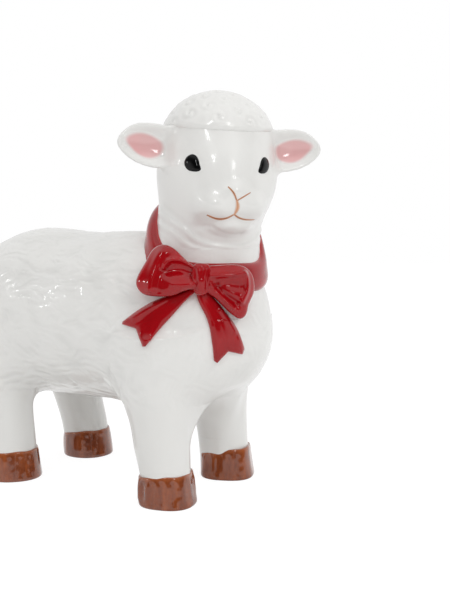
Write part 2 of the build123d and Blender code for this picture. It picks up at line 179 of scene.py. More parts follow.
def new_glaze(name, roughness, coat, broad_waves, fine_waves, relief_mm):
    """A material with one Principled shader, a coat, and the run glaze's waves as its bump."""
    material = bpy.data.materials.new(name)
    material.use_nodes = True
    tree = material.node_tree
    shader = tree.nodes["Principled BSDF"]
    shader.inputs["Roughness"].default_value = roughness
    shader.inputs["Coat Weight"].default_value = coat
    shader.inputs["Coat Roughness"].default_value = 0.03
    bump = tree.nodes.new("ShaderNodeBump")
    bump.inputs["Strength"].default_value = 1.0
    bump.inputs["Distance"].default_value = relief_mm * MM
    waves = use_group(tree, glaze_waves, Broad=broad_waves, Fine=fine_waves)
    tree.links.new(waves, bump.inputs["Height"])
    tree.links.new(bump.outputs["Normal"], shader.inputs["Normal"])
    return material, tree, shader


print("glaze helpers ready")

# %% [markdown]
# The white body is bone white rather than paper white. In the carved grooves of the fleece the tone is
# darkened by the carved depth that the mesh carries: painted shade where the tool has cut in.

# %% White glaze
white_glaze, tree, shader = new_glaze("white_glaze", 0.3, 0.4, 0.5, 0.02, 0.25)
shader.inputs["Coat Roughness"].default_value = 0.07  # the white mirrors a little less sharply
cloudy = use_group(tree, brushed, Cloud_scale=22.0, Contrast=1.4)
ground_tone = mix_tones(tree, cloudy, (0.815, 0.81, 0.79), (0.775, 0.77, 0.745))
# painted shade: grey (0.56, 0.56, 0.54) darkens the white by up to a quarter in the carved grooves
painted_groove_shade = math_node(tree, "MULTIPLY", painted(tree, "carved"), 0.25, clamp=True)
tone = mix_tones(tree, painted_groove_shade, ground_tone, (0.56, 0.56, 0.54))
tree.links.new(tone, shader.inputs["Base Color"])
print("white glaze:", len(tree.nodes), "nodes")

# %% [markdown]
# The red is a thick, glossy glaze. It is deepest in the folds and thins to a brighter red along the
# edges, where a hair of pink shows as it meets the white.

# %% Red glaze
red_glaze, tree, shader = new_glaze("red_glaze", 0.12, 0.55, 0.6, 0.02, 0.35)
shader.inputs["IOR"].default_value = 1.3
cloudy = use_group(tree, brushed, Cloud_scale=70.0, Contrast=1.8)
deep = mix_tones(tree, cloudy, (0.38, 0.0022, 0.0060), (0.27, 0.0012, 0.0035))
thin = math_node(tree, "MULTIPLY", painted(tree, "edge"), 0.6, clamp=True)
tone = mix_tones(tree, thin, deep, (0.62, 0.075, 0.07))
tree.links.new(tone, shader.inputs["Base Color"])
print("red glaze:", len(tree.nodes), "nodes")

# %% [markdown]
# The hooves are brushed with a brown that has run down in streaks. Stretching the noise along the
# height makes the streaks, and the colour breaks to orange where it is thin at the upper edge.

# %% Brown glaze
brown_glaze, tree, shader = new_glaze("brown_glaze", 0.14, 0.8, 0.7, 0.05, 0.35)
shader.inputs["IOR"].default_value = 1.42
where = tree.nodes.new("ShaderNodeTexCoord")
stretch = tree.nodes.new("ShaderNodeMapping")
stretch.inputs["Scale"].default_value = (1.0, 1.0, 0.22)
streak = tree.nodes.new("ShaderNodeTexNoise")
streak.inputs["Scale"].default_value = 190.0
streak.inputs["Detail"].default_value = 5.0
streak.inputs["Roughness"].default_value = 0.6
tree.links.new(where.outputs["Object"], stretch.inputs["Vector"])
tree.links.new(stretch.outputs["Vector"], streak.inputs["Vector"])
streaks = math_node(tree, "MULTIPLY_ADD", streak.outputs["Fac"], 2.6)
streaks.node.inputs[2].default_value = -0.8
streaks.node.use_clamp = True
cloudy = use_group(tree, brushed, Cloud_scale=85.0, Contrast=2.2)
warm = mix_tones(tree, cloudy, (0.38, 0.092, 0.022), (0.25, 0.058, 0.016))
tone = mix_tones(tree, streaks, warm, (0.165, 0.036, 0.012))
thin = math_node(tree, "MULTIPLY", painted(tree, "edge"), 0.4, clamp=True)
tone = mix_tones(tree, thin, tone, (0.45, 0.13, 0.05))
tree.links.new(tone, shader.inputs["Base Color"])
print("brown glaze:", len(tree.nodes), "nodes")

# %% [markdown]
# The pink in the ears is sponged on and fades out into the white. The black of the eyes and the
# reddish brown of the drawn lines are the same kind of colour with other tones; the line breaks to
# orange at its sides.

# %% Pink, black and line glazes
pink_glaze, tree, shader = new_glaze("pink_glaze", 0.16, 0.8, 0.5, 0.02, 0.3)
cloudy = use_group(tree, brushed, Cloud_scale=60.0, Contrast=1.6)
pink = mix_tones(tree, cloudy, (0.77, 0.41, 0.41), (0.72, 0.46, 0.45))
fading = painted(tree, "edge")
tone = mix_tones(tree, fading, pink, (0.80, 0.79, 0.77))
tree.links.new(tone, shader.inputs["Base Color"])

black_glaze, tree, shader = new_glaze("black_glaze", 0.08, 0.0, 0.3, 0.02, 0.15)
shader.inputs["IOR"].default_value = 1.3
cloudy = use_group(tree, brushed, Cloud_scale=300.0, Contrast=1.5)
tone = mix_tones(tree, cloudy, (0.001, 0.001, 0.0015), (0.006, 0.006, 0.006))
tree.links.new(tone, shader.inputs["Base Color"])

line_glaze, tree, shader = new_glaze("line_glaze", 0.2, 0.6, 0.3, 0.05, 0.1)
cloudy = use_group(tree, brushed, Cloud_scale=260.0, Contrast=2.0)
core = mix_tones(tree, cloudy, (0.12, 0.042, 0.026), (0.22, 0.085, 0.045))
across = painted(tree, "edge")
warm_share = math_node(tree, "MULTIPLY", across, 2.2, clamp=True)
tone = mix_tones(tree, warm_share, core, (0.60, 0.27, 0.13))
pale_share = math_node(tree, "MULTIPLY_ADD", across, 1.8)
pale_share.node.inputs[2].default_value = -0.9
pale_share.node.use_clamp = True
tone = mix_tones(tree, pale_share, tone, (0.78, 0.66, 0.58))
tree.links.new(tone, shader.inputs["Base Color"])
print("pink, black and line glazes made")

# %% [markdown]
# ## Making pieces
# A new piece is a set of points and faces that numpy has worked out. Most are skins over rings: each
# ring of points is joined to the next by quads, and the first and last ring close in one point, so
# the skin has no open edge. The sign of the enclosed volume tells whether the faces look outwards.

# %% Rings into closed skins
def closed_rings(rings):
    """Points and faces over rings of shape (rows, columns, 3), closed in a point at both ends."""
    inner = rings[1:-1]
    rows, columns = inner.shape[:2]
    points = np.vstack([rings[0].mean(0), inner.reshape(-1, 3), rings[-1].mean(0)])
    here = np.arange(columns)
    after = (here + 1) % columns
    row = 1 + np.arange(rows - 1)[:, None] * columns
    quads = np.stack([row + here, row + after, row + columns + after, row + columns + here], -1)
    last = 1 + (rows - 1) * columns
    start = np.stack([np.zeros_like(here), 1 + after, 1 + here], -1)
    end = np.stack([np.full_like(here, len(points) - 1), last + here, last + after], -1)
    return points, [quads.reshape(-1, 4), np.vstack([start, end])]


def closed_hoop(rings):
    """Points and faces over rings whose last one joins the first, like a bracelet."""
    rows, columns = rings.shape[:2]
    here = np.arange(columns)
    after = (here + 1) % columns
    row = (np.arange(rows) * columns)[:, None]
    following = (np.arange(1, rows + 1) % rows * columns)[:, None]
    quads = np.stack([row + here, row + after, following + after, following + here], -1)
    return rings.reshape(-1, 3), [quads.reshape(-1, 4)]


def read_mesh(mesh):
    """Points, the corners of all faces in a row, and how many corners each face has."""
    points = np.empty(len(mesh.vertices) * 3)
    mesh.vertices.foreach_get("co", points)
    corners = np.empty(len(mesh.loops), np.int32)
    mesh.loops.foreach_get("vertex_index", corners)
    sizes = np.empty(len(mesh.polygons), np.int32)
    mesh.polygons.foreach_get("loop_total", sizes)
    return points.reshape(-1, 3), corners, sizes


def volume_of(points, faces):
    """Enclosed volume: the sum of a . (b x c) / 6 over the triangles a, b, c of each face."""
    total = 0.0
    for block in faces:
        corners = points[block]
        for k in range(1, block.shape[1] - 1):
            cross = np.cross(corners[:, k], corners[:, k + 1])
            total += (corners[:, 0] * cross).sum() / 6
    return total


def add_piece(name, points, faces, material, nodes, painted_values=None):
    """A mesh in the frame from points in millimetres; it rides on the root and replaces nodes."""
    if volume_of(points, faces) < 0:
        faces = [block[:, ::-1] for block in faces]
    mesh = bpy.data.meshes.new(name)
    mesh.vertices.add(len(points))
    mesh.vertices.foreach_set("co", to_frame(points).astype(np.float32).ravel())
    sizes = np.concatenate([np.full(len(block), block.shape[1]) for block in faces])
    corners = np.concatenate([block.ravel() for block in faces])
    mesh.loops.add(len(corners))
    mesh.loops.foreach_set("vertex_index", corners.astype(np.int32))
    mesh.polygons.add(len(sizes))
    mesh.polygons.foreach_set("loop_start", (np.cumsum(sizes) - sizes).astype(np.int32))
    mesh.polygons.foreach_set("use_smooth", np.ones(len(sizes), bool))
    mesh.update(calc_edges=True)
    for label, values in (painted_values or {}).items():
        layer = mesh.attributes.new(label, "FLOAT", "POINT")
        layer.data.foreach_set("value", np.asarray(values, np.float32))
    mesh.materials.append(material)
    piece = bpy.data.objects.new(name, mesh)
    bpy.context.scene.collection.objects.link(piece)
    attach(piece, "root")
    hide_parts(*nodes)
    return piece


print("piece helpers ready")

# %% [markdown]
# Outlines and cross sections change smoothly, so each is a cubic curve through a few measured
# values. A closed outline runs through its points and back to the first.

# %% Smooth curves through a few values
def curve(x, places, values):
    """Natural cubic spline through (places, values) at x, level beyond its ends."""
    places, values = np.asarray(places, float), np.asarray(values, float)
    count, gap = len(places), np.diff(places)
    system, right = np.eye(count), np.zeros(count)
    for i in range(1, count - 1):
        system[i, i - 1:i + 2] = gap[i - 1], 2 * (gap[i - 1] + gap[i]), gap[i]
        right[i] = 6 * ((values[i + 1] - values[i]) / gap[i] - (values[i] - values[i - 1]) / gap[i - 1])
    bend = np.linalg.solve(system, right)
    x = np.clip(x, places[0], places[-1])
    k = np.clip(np.searchsorted(places, x) - 1, 0, count - 2)
    a, b, h = places[k + 1] - x, x - places[k], gap[k]
    cubic = (bend[k] * a ** 3 + bend[k + 1] * b ** 3) / (6 * h)
    return cubic + (values[k] / h - bend[k] * h / 6) * a + (values[k + 1] / h - bend[k + 1] * h / 6) * b


def step_up(x, low, high):
    """0 below low, 1 above high, smooth between."""
    t = np.clip((x - low) / (high - low), 0, 1)
    return t * t * (3 - 2 * t)


def rounded(share, power):
    """sqrt(1 - share^power): 1 in the middle, bending down to 0 at share 1."""
    return np.sqrt(np.maximum(1 - share ** power, 0))


def path(points, count):
    """count points evenly spaced by length on a smooth curve through the given ones."""
    points = np.asarray(points, float)
    along = np.append(0, np.cumsum(np.linalg.norm(np.diff(points, axis=0), axis=1)))
    dense = np.linspace(0, along[-1], 40 * len(points))
    line = np.stack([curve(dense, along, points[:, k]) for k in range(points.shape[1])], -1)
    length = np.append(0, np.cumsum(np.linalg.norm(np.diff(line, axis=0), axis=1)))
    even = np.linspace(0, length[-1], count)
    return np.stack([np.interp(even, length, line[:, k]) for k in range(points.shape[1])], -1)


def outline(points, count):
    """count points on a smooth closed curve through the given ones, the first not repeated."""
    points = np.asarray(points, float)
    around = np.vstack([points[-3:], points, points[:4]])
    along = np.append(0, np.cumsum(np.linalg.norm(np.diff(around, axis=0), axis=1)))
    dense = np.linspace(along[3], along[3 + len(points)], 40 * len(points))
    line = np.stack([curve(dense, along, around[:, k]) for k in range(points.shape[1])], -1)
    length = np.append(0, np.cumsum(np.linalg.norm(np.diff(line, axis=0), axis=1)))
    even = np.linspace(0, length[-1], count, endpoint=False)
    return np.stack([np.interp(even, length, line[:, k]) for k in range(points.shape[1])], -1)


print("a circle of four points measures", round(float(np.linalg.norm(np.diff(
    outline([(1, 0), (0, 1), (-1, 0), (0, -1)], 100), axis=0), axis=1).sum()), 3))

# %% [markdown]
# ## The cast body
# Torso, chest, neck, head and legs are one skin on the real lamb, with soft valleys where they meet.
# Boxes and subdivision make such valleys hard to place. A distance field makes them easy: each form
# is a function that is negative inside, and a smooth minimum melts two forms together. First come the
# torso, an ellipse in section whose height and width change along the back, and the chest and neck.

# %% Distance fields of torso, chest and neck
def melt(a, b, reach):
    """Smooth minimum: like min(a, b), rounded off where the two are within reach of each other."""
    h = np.clip(0.5 + 0.5 * (b - a) / reach, 0, 1)
    return b + (a - b) * h - reach * h * (1 - h)


def only_where(mask, field, points):
    """The field where the mask is true, and 40 mm elsewhere."""
    values = np.full(mask.shape, 40.0)
    if mask.any():
        values[mask] = field(points[mask])
    return values


def ball(points, middle, half):
    """Near distance to an ellipsoid: k0 (k0 - 1) / k1, k0 and k1 the lengths of p/half, p/half^2."""
    p = points - np.array(middle, float)
    half = np.array(half, float)
    k0 = np.sqrt(((p / half) ** 2).sum(-1))
    k1 = np.sqrt(((p / half ** 2) ** 2).sum(-1))
    return k0 * (k0 - 1) / np.maximum(k1, 1e-6)


BACK = [-97, -60, -20, 20, 60, 90, 121]
BACK_TOP = [146, 156, 157.5, 156.2, 160.2, 158.5, 157]
BELLY = [50, 46.5, 49.5, 50.5, 51, 53, 55]
FLANK = [50, 53, 53, 53.6, 53.6, 52.6, 50]


def torso(points):
    """Barrel along y: (x/a)^2 + ((z-c)/b)^2 + |t|^n = 1 with n 2.5 ahead and 3.8 at the rump."""
    x, y, z = points[..., 0], points[..., 1], points[..., 2]
    x = x + 0.9 * step_up(x, 0, 40)
    middle, half = (BACK[0] + BACK[-1]) / 2, (BACK[-1] - BACK[0]) / 2
    t = np.abs((y - middle) / half)
    n = np.where(y > middle, 3.8, 2.5)
    a = curve(y, BACK, FLANK)
    top, bottom = curve(y, BACK, BACK_TOP), curve(y, BACK, BELLY)
    b, c = (top - bottom) / 2, (top + bottom) / 2
    size = np.sqrt((x / a) ** 2 + ((z - c) / b) ** 2 + t ** n)
    slope = np.sqrt((x / a ** 2) ** 2 + ((z - c) / b ** 2) ** 2 + (n / 2 * t ** (n - 1) / half) ** 2)
    return (size - 1) / np.maximum(slope / np.maximum(size, 1e-6), 1 / 60)


NECK_UP = [56, 66, 76, 86, 98, 112, 128, 143, 160, 178, 190]
NECK_X = [0, 0, 0, 0, 0, 0, 0, -1.0, -2.0, -3.0, -3.2]
NECK_Y = [-42, -46, -48, -50, -50.5, -51.6, -57.2, -62.2, -66.0, -69.2, -71]
NECK_R = [28, 39.5, 45, 46.4, 46, 44.2, 38.4, 32.6, 30.9, 31.4, 31.5]


def neck(points):
    """Upright tube of changing middle and radius, rounded off under the chest, ending in the head."""
    z = points[..., 2]
    x_mid, y_mid, radius = (curve(z, NECK_UP, v) for v in (NECK_X, NECK_Y, NECK_R))
    side = np.hypot(points[..., 0] - x_mid, points[..., 1] - y_mid) - radius
    return np.maximum(-melt(-side * 0.85, z - 52, 20), z - 188)


print("torso field at its middle:", round(float(torso(np.array([0.0, 12, 104]))), 1), "mm")

# %% [markdown]
# The legs are upright tubes too, each with its own run of middles and half widths from the hoof to
# the shoulder. They were measured leg by leg, because a modelled animal is never quite even.

# %% Distance fields of the legs
LEG_UP = [0, 17, 30, 42, 52, 62, 76, 95]
LEGS = {
    "front_right": (
        [-34.5, -34.5, -34.5, -34.5, -34.5, -34, -31, -26],
        [-55.6, -55.4, -53.6, -52.7, -51.6, -50.2, -49, -47],
        [13.6, 13.7, 15.0, 16.2, 17.8, 20, 22.5, 25],
        [15.0, 14.9, 16.2, 17.2, 18.9, 21.6, 25, 29]),
    "front_left": (
        [34.3, 34.2, 34, 33.6, 32.6, 31.2, 28.6, 25],
        [-56.4, -55.4, -54.2, -53.2, -52.6, -52, -50.6, -48],
        [15.4, 15.6, 16.2, 17.0, 18.6, 20.8, 23, 25],
        [15.8, 15.8, 16.2, 17.0, 18.4, 20.8, 24.6, 29]),
    "rear_right": (
        [-35, -35, -35, -35, -35, -34.5, -32, -26],
        [61, 61.4, 63, 65, 66.5, 67.5, 68, 67],
        [15.2, 15.2, 15.4, 16, 17, 18.4, 22, 25],
        [15.6, 15.4, 15.6, 16.2, 17, 18.8, 24, 28]),
    "rear_left": (
        [35, 35, 35, 35, 34.4, 32.9, 29.6, 25],
        [57, 58, 61.2, 65.4, 68.6, 70.5, 70, 67],
        [15.4, 15.4, 15.8, 16.4, 17.4, 19, 22, 25],
        [15.8, 15.9, 16.4, 17.2, 18.6, 20.8, 24.5, 28]),
}


def leg(points, sizes):
    """Upright elliptic tube: k0 (k0 - 1) / k1 in the plane, closed at heights 8 and 92."""
    z = points[..., 2]
    x_mid, y_mid, x_half, y_half = (curve(z, LEG_UP, v) for v in sizes)
    x, y = (points[..., 0] - x_mid) / x_half, (points[..., 1] - y_mid) / y_half
    k0 = np.sqrt(x ** 2 + y ** 2)
    k1 = np.sqrt((x / x_half) ** 2 + (y / y_half) ** 2)
    side = np.where(k0 < 1e-3, -15.0, k0 * (k0 - 1) / np.maximum(k1, 1e-6))
    return np.maximum(side, np.maximum(z - 92, 8 - z))


def legs(points):
    """The nearest of the four legs."""
    return np.minimum.reduce([leg(points, sizes) for sizes in LEGS.values()])


print(len(LEGS), "legs")

# %% [markdown]
# The head looks to the lamb's right, so it has a frame of its own: x to its left, y backwards and z
# up, from the middle of the skull. Skull, cheeks, muzzle and chin are ellipsoids melted together.
# The drawn lines and the folds of jaw and chin are paths in that frame. An ear is a thick leaf that
# stands out level from the head, hollow in front with a rounded rim. On the real lamb it was luted
# on and smoothed over, so its field is melted into the head's.

# %% Distance field of the head
HEAD_MIDDLE = np.array([-3.0, -71.0, 196.0])
HEAD_TURN = math.radians(-44)
HEAD_AXES = np.array([
    [math.cos(HEAD_TURN), -math.sin(HEAD_TURN), 0.0],
    [math.sin(HEAD_TURN), math.cos(HEAD_TURN), 0.0],
    [0.0, 0.0, 1.0]])


def into_head(points):
    """Ground measures to head measures."""
    return (points - HEAD_MIDDLE) @ HEAD_AXES


def out_of_head(points):
    """Head measures to ground measures."""
    return points @ HEAD_AXES.T + HEAD_MIDDLE


NOSE_ARMS = [[(-4.9, -17.8), (-2.9, -20.2), (-1.4, -22.6), (-0.2, -25.2)],
             [(8.3, -20.6), (5.0, -22.4), (2.2, -24.0), (-0.2, -25.4)]]
STEM = [(-0.3, -24.8), (0.7, -28.4), (-0.8, -33.0)]
MOUTH = [[(-0.8, -32.6), (-4.6, -34.5), (-9.4, -34.9), (-15.0, -32.8)],
         [(-0.8, -32.4), (2.4, -34.2), (6.2, -35.1), (12.7, -35.0)]]
JAW_FOLD = [(-34.3, -4, -26.2), (-30.6, -12, -31.6), (-26.1, -18.2, -36.2), (-21.4, -21.9, -39.2),
            (-13.4, -28.1, -38.6)]
CHIN_FOLD = [(-10.5, -29.4, -39.4), (-5.5, -29, -41.4), (-1.3, -28, -42.3), (6.2, -26.3, -42.2)]


def near_path(points, line, width):
    """exp(-(distance to the path / width)^2), the path's pieces taken as straight."""
    nearest = np.full(points.shape[:-1], 1e9)
    for start, end in zip(line[:-1], line[1:]):
        run = end - start
        along = np.clip(((points - start) @ run) / (run @ run), 0, 1)
        gap = points - start - along[..., None] * run
        nearest = np.minimum(nearest, (gap ** 2).sum(-1))
    return np.exp(-nearest / width ** 2)


EAR_OUTLINE = [(60.3, 7.2), (57.0, 13.2), (50.5, 17.5), (41.4, 18.8), (32.8, 18.0), (25, 15.5),
               (21, 6), (26, -3.5), (33, -6.2), (40.3, -6.2), (48.3, -4.2), (56.2, 0.6)]
EAR_MIDDLE = np.array([43.0, 6.4])
ear_rim = outline(EAR_OUTLINE, 400) - EAR_MIDDLE
EAR_AIM = np.arctan2(ear_rim[:, 1], ear_rim[:, 0])
EAR_REACH = np.linalg.norm(ear_rim, axis=1)[np.argsort(EAR_AIM)]
EAR_AIM = np.sort(EAR_AIM)


def ear(q):
    """Both ears: a leaf of the outline, |h - m(s)| - t(s) thick, hollow in front, its rim rounded."""
    out, up = np.abs(q[..., 0]), q[..., 2]
    for _ in range(2):
        lean = 9 + 0.14 * (out - 26) + 0.004 * (up - 6.4) ** 2
        out = np.abs(q[..., 0]) + 0.14 * (q[..., 1] + lean)
    h = -q[..., 1] - lean
    aim = np.arctan2(up - EAR_MIDDLE[1], out - EAR_MIDDLE[0])
    reach = np.interp(aim, EAR_AIM, EAR_REACH, period=2 * math.pi)
    far = np.hypot(up - EAR_MIDDLE[1], out - EAR_MIDDLE[0])
    s = np.clip(far / reach, 0, 1.3)
    slab = np.abs(h + 4.4 * (1 - np.minimum(s, 1) ** 1.8)) - 1.3 - 1.3 * np.minimum(s, 1) ** 2
    return -melt(-(far - reach) * 0.9, -slab, 4.0) * 0.85


def head(points):
    """Ellipsoids of skull, crown, cheeks, bridge, muzzle, lips and chin, and the ears, all melted."""
    q = into_head(points)
    form = melt(ball(q, (0.6, 2, -3), (34.2, 34, 35)), ball(q, (0.8, -3, -13), (31.8, 30, 26)), 9)
    form = melt(form, ball(q, (1.2, 1.4, 9), (32.6, 32, 29.5)), 3)
    form = melt(form, ball(q, (0, -16, -25), (21.5, 22.5, 16.5)), 12)
    form = melt(form, ball(q, (0, -16, -9), (16, 18.5, 19)), 10)
    lips = melt(ball(q, (-8, -24.5, -28), (11.5, 15, 8)), ball(q, (8, -24.5, -28), (11.5, 15, 8)), 2.5)
    form = melt(form, lips, 5)
    form = melt(form, ball(q, (0, -27, -20.5), (8.5, 13.5, 6)), 5)
    form = melt(form, ball(q, (0, -19.5, -38), (14, 14.5, 6)), 4)
    beside = (q[..., 2] > -14) & (q[..., 2] < 26) & (np.abs(q[..., 0]) > 16)
    return melt(form, only_where(beside, ear, q), 4.5)


print("nose reaches", round(float(head(out_of_head(np.array([0.0, -42, -24])))), 2), "mm from 42")

# %% [markdown]
# The whole body is those four fields melted together, softest between the front legs, where the
# chest runs down as a web. Far from a form its field is not needed, so each is worked out only where
# it can matter. The vent is a hole in the belly that lets steam out of the casting.

# %% The body as one field
def body(points):
    """Torso, chest with neck, legs and head melted together, less the vent."""
    z = points[..., 2]
    form = torso(points)
    reach = 16 - 10 * step_up(z, 112, 138)
    form = melt(form, only_where((z > 26) & (points[..., 1] < 20), neck, points), reach)
    between = (1 - step_up(np.abs(points[..., 0]), 20, 36)) * step_up(-points[..., 1], 20, 50)
    form = melt(form, only_where(z < 106, legs, points), 14 + 12 * between)
    form = melt(form, only_where(z > 140, head, points), 4)
    vent = np.maximum(np.hypot(points[..., 0], points[..., 1] - 12) - 4, z - 56)
    return np.maximum(form, -vent)


print("body field above the back:", round(float(body(np.array([[0.0, 20, 170]]))[0]), 1), "mm")

# %% [markdown]
# ## Carving
# The fleece is carved with a small tool in short strokes that lie in patches, some combed along the
# back and some curling. At each corner of a lattice sits a plane wave with its own direction, and
# the waves are blended between the corners, which gives just such patches. Each number is scattered
# from whole numbers, so the result is the same every time.

# %% Strokes of the carving tool
def scatter(cells, seed):
    """A number from 0 to 1 for each whole-number cell, from multiplied and folded odd numbers."""
    c = cells.astype(np.uint32)
    h = c[..., 0] * np.uint32(2376512323) ^ c[..., 1] * np.uint32(3625334849)
    h = h ^ c[..., 2] * np.uint32(3407524639) ^ np.uint32(seed * 2654435 + 97531)
    h = (h ^ (h >> np.uint32(13))) * np.uint32(1540483477)
    h = (h ^ (h >> np.uint32(15))) * np.uint32(2246822519)
    return (h ^ (h >> np.uint32(14))).astype(np.float64) / 2.0 ** 32


def strokes(points, cell, wave, lean, seed):
    """Sum over lattice corners of weight * cos(2 pi (direction . offset / wave + phase))."""
    grid = points / cell
    base = np.floor(grid)
    inside = grid - base
    ease = inside * inside * (3 - 2 * inside)
    whole = base.astype(np.int64) + 4096
    total = np.zeros(points.shape[:-1])
    for corner in np.ndindex(2, 2, 2):
        place = whole + np.array(corner)
        aim = np.stack([scatter(place, seed + k) * 2 - 1 for k in range(3)], -1) * lean
        aim /= np.linalg.norm(aim, axis=-1, keepdims=True) + 1e-9
        offset = (inside - corner) * cell
        turn = (aim * offset).sum(-1) / wave + scatter(place, seed + 3)
        weight = np.prod(np.where(np.array(corner) > 0, ease, 1 - ease), axis=-1)
        total += weight * np.cos(2 * math.pi * turn)
    return total


def carving(points):
    """Height of the fleece in mm: broad lumps, strokes and fine strokes, none on face and shins."""
    z = points[..., 2]
    wool = step_up(z, 46, 70)
    face = only_where(z > 140, head, points)
    ahead = step_up(-points[..., 1], 30, 62)
    wool = wool * step_up(face, 0.8, 5.0) * (1 - 0.6 * ahead) * (1 - 0.5 * ahead * step_up(z, 138, 150))
    belly = np.exp(-((z - 57) / 8) ** 2) * step_up(points[..., 1], -60, -30)
    back = step_up(z, 128, 150)
    bent = points + 2.0 * np.stack([strokes(points, 17, 23, (1, 1, 1), 50 + k) for k in range(3)], -1)
    lumps = strokes(points, 15, 17, (1, 0.7, 1), 7)
    marks = strokes(bent, 9.5, 4.8, (1, 0.3, 1), 11)
    fine = strokes(bent, 6, 2.7, (1, 0.6, 1), 23)
    marks = marks - 0.35 * np.abs(marks)
    return wool * (0.3 * lumps + (0.19 + 0.36 * belly - 0.06 * back) * marks + 0.06 * fine)


def folds(points):
    """Depth in mm of the folds below cheeks and chin, and of the soft rings they send down the neck."""
    q = into_head(points)
    mirrored = q * [-1, 1, 1]
    jaw = path(JAW_FOLD, 7)
    depth = 0.6 * np.maximum(near_path(q, jaw, 1.7), near_path(mirrored, jaw, 1.7))
    away = head(points)
    rings = 0.3 * np.cos(2 * math.pi * away / 4.2) * np.exp(-((away - 7) / 4.5) ** 2)
    return depth + 0.6 * near_path(q, path(CHIN_FOLD, 6), 1.5) + rings * step_up(-q[..., 1], -12, 4)


def skin(points):
    """The carved body: the body's field less the carving, plus the folds."""
    value = body(points) - carving(points)
    return value + only_where(points[..., 2] > 145, folds, points) * (points[..., 2] > 145)


print("strokes range", np.round(np.ptp(strokes(np.random.default_rng(1).random((999, 3)) * 90,
                                               8, 4, (1, 1, 1), 3)), 2))

# %% [markdown]
# The field becomes a mesh by surface nets: space is cut into small cells, each cell that the surface
# crosses gets one point, and points of neighbouring cells are joined. The field is first looked at
# on a coarse lattice, so the fine one is only worked out near the surface. The points are then moved
# along the field's slope, first onto the smooth body and then onto the carved one.

# %% Surface nets
def lattice(low, counts, step):
    """All lattice points of a box, shape (nx, ny, nz, 3)."""
    axes = [low[k] + step * np.arange(counts[k]) for k in range(3)]
    return np.stack(np.meshgrid(*axes, indexing="ij"), -1)


def sample_near(field, low, high, step):
    """Field values on a fine lattice, exact near the surface and coarse values elsewhere."""
    counts = [int((high[k] - low[k]) / (4 * step)) + 2 for k in range(3)]
    coarse = field(lattice(low, counts, 4 * step))
    fine = np.repeat(np.repeat(np.repeat(coarse, 4, 0), 4, 1), 4, 2).astype(np.float32)
    near = np.argwhere(np.abs(fine) < 9.0 * step)
    for start in range(0, len(near), 400000):
        part = near[start:start + 400000]
        fine[tuple(part.T)] = field(np.array(low) + step * part)
    return fine


def surface_nets(values, low, step):
    """One point per crossed cell, at the mean of its edges' crossings, and one quad per edge."""
    cells = tuple(n - 1 for n in values.shape)
    total, hits = np.zeros((*cells, 3), np.float32), np.zeros(cells, np.float32)
    for axis in range(3):
        first, second = [slice(None)] * 3, [slice(None)] * 3
        first[axis], second[axis] = slice(0, -1), slice(1, None)
        v0, v1 = values[tuple(first)], values[tuple(second)]
        crossed = (v0 < 0) != (v1 < 0)
        share = np.where(crossed, v0 / np.where(crossed, v0 - v1, 1), 0)
        other = [k for k in range(3) if k != axis]
        for da, db in np.ndindex(2, 2):
            part = [slice(None)] * 3
            part[other[0]] = slice(da, values.shape[other[0]] - 1 + da)
            part[other[1]] = slice(db, values.shape[other[1]] - 1 + db)
            hit = crossed[tuple(part)]
            hits += hit
            total[..., axis] += hit * share[tuple(part)]
            total[..., other[0]] += hit * da
            total[..., other[1]] += hit * db
    active = hits > 0
    number = np.full(cells, -1, np.int64)
    number[active] = np.arange(active.sum())
    points = np.array(low) + step * (np.argwhere(active) + total[active] / hits[active][:, None])
    quads = []
    inside = values < 0
    for axis in range(3):
        a, b = (axis + 1) % 3, (axis + 2) % 3
        first, second = [slice(1, -1)] * 3, [slice(1, -1)] * 3
        first[axis], second[axis] = slice(0, -1), slice(1, None)
        here, there = inside[tuple(first)], inside[tuple(second)]
        edge = np.argwhere(here != there)
        flipped = there[here != there]
        edge[:, a] += 1
        edge[:, b] += 1
        ring = []
        for da, db in ((-1, -1), (0, -1), (0, 0), (-1, 0)):
            cell = edge.copy()
            cell[:, a] += da
            cell[:, b] += db
            ring.append(number[tuple(cell.T)])
        ring = np.stack(ring, 1)
        ring[flipped] = ring[flipped][:, ::-1]
        quads.append(ring)
    return points, np.concatenate(quads)


FOUR_WAYS = np.array([(1, -1, -1), (-1, -1, 1), (-1, 1, -1), (1, 1, 1)], float)


def slope(field, points, reach=0.25):
    """The field's gradient from four samples at the corners of a small tetrahedron."""
    return sum(way * field(points + reach * way)[:, None] for way in FOUR_WAYS) / (4 * reach)


def onto(field, points, rounds):
    """Points moved onto the surface: p - f g / |g|^2, by at most 0.6 mm, a few times."""
    for _ in range(rounds):
        g = slope(field, points)
        way = (field(points) / np.maximum((g ** 2).sum(-1), 0.2))[:, None] * g
        far = np.linalg.norm(way, axis=1, keepdims=True)
        points = points - way * np.minimum(1, 0.6 / np.maximum(far, 1e-6))
    return points


STEP = 0.9
net_low = (-66.0, -132.0, 6.0)
net_values = sample_near(body, net_low, (58, 126, 236), STEP)
net_points, net_quads = surface_nets(net_values, net_low, STEP)
net_points = onto(body, net_points, 1)
net_points = onto(skin, net_points, 2)
print(len(net_points), "points and", len(net_quads), "quads on the body")

# %% [markdown]
# One huge skin is awkward to handle and to hand on, so it is cut into named pieces along flat planes:
# torso, chest with neck, head, two ears and the four lower legs. A piece is told by the sides of the
# planes on which its faces lie, and both sides of a cut share the same line of points.

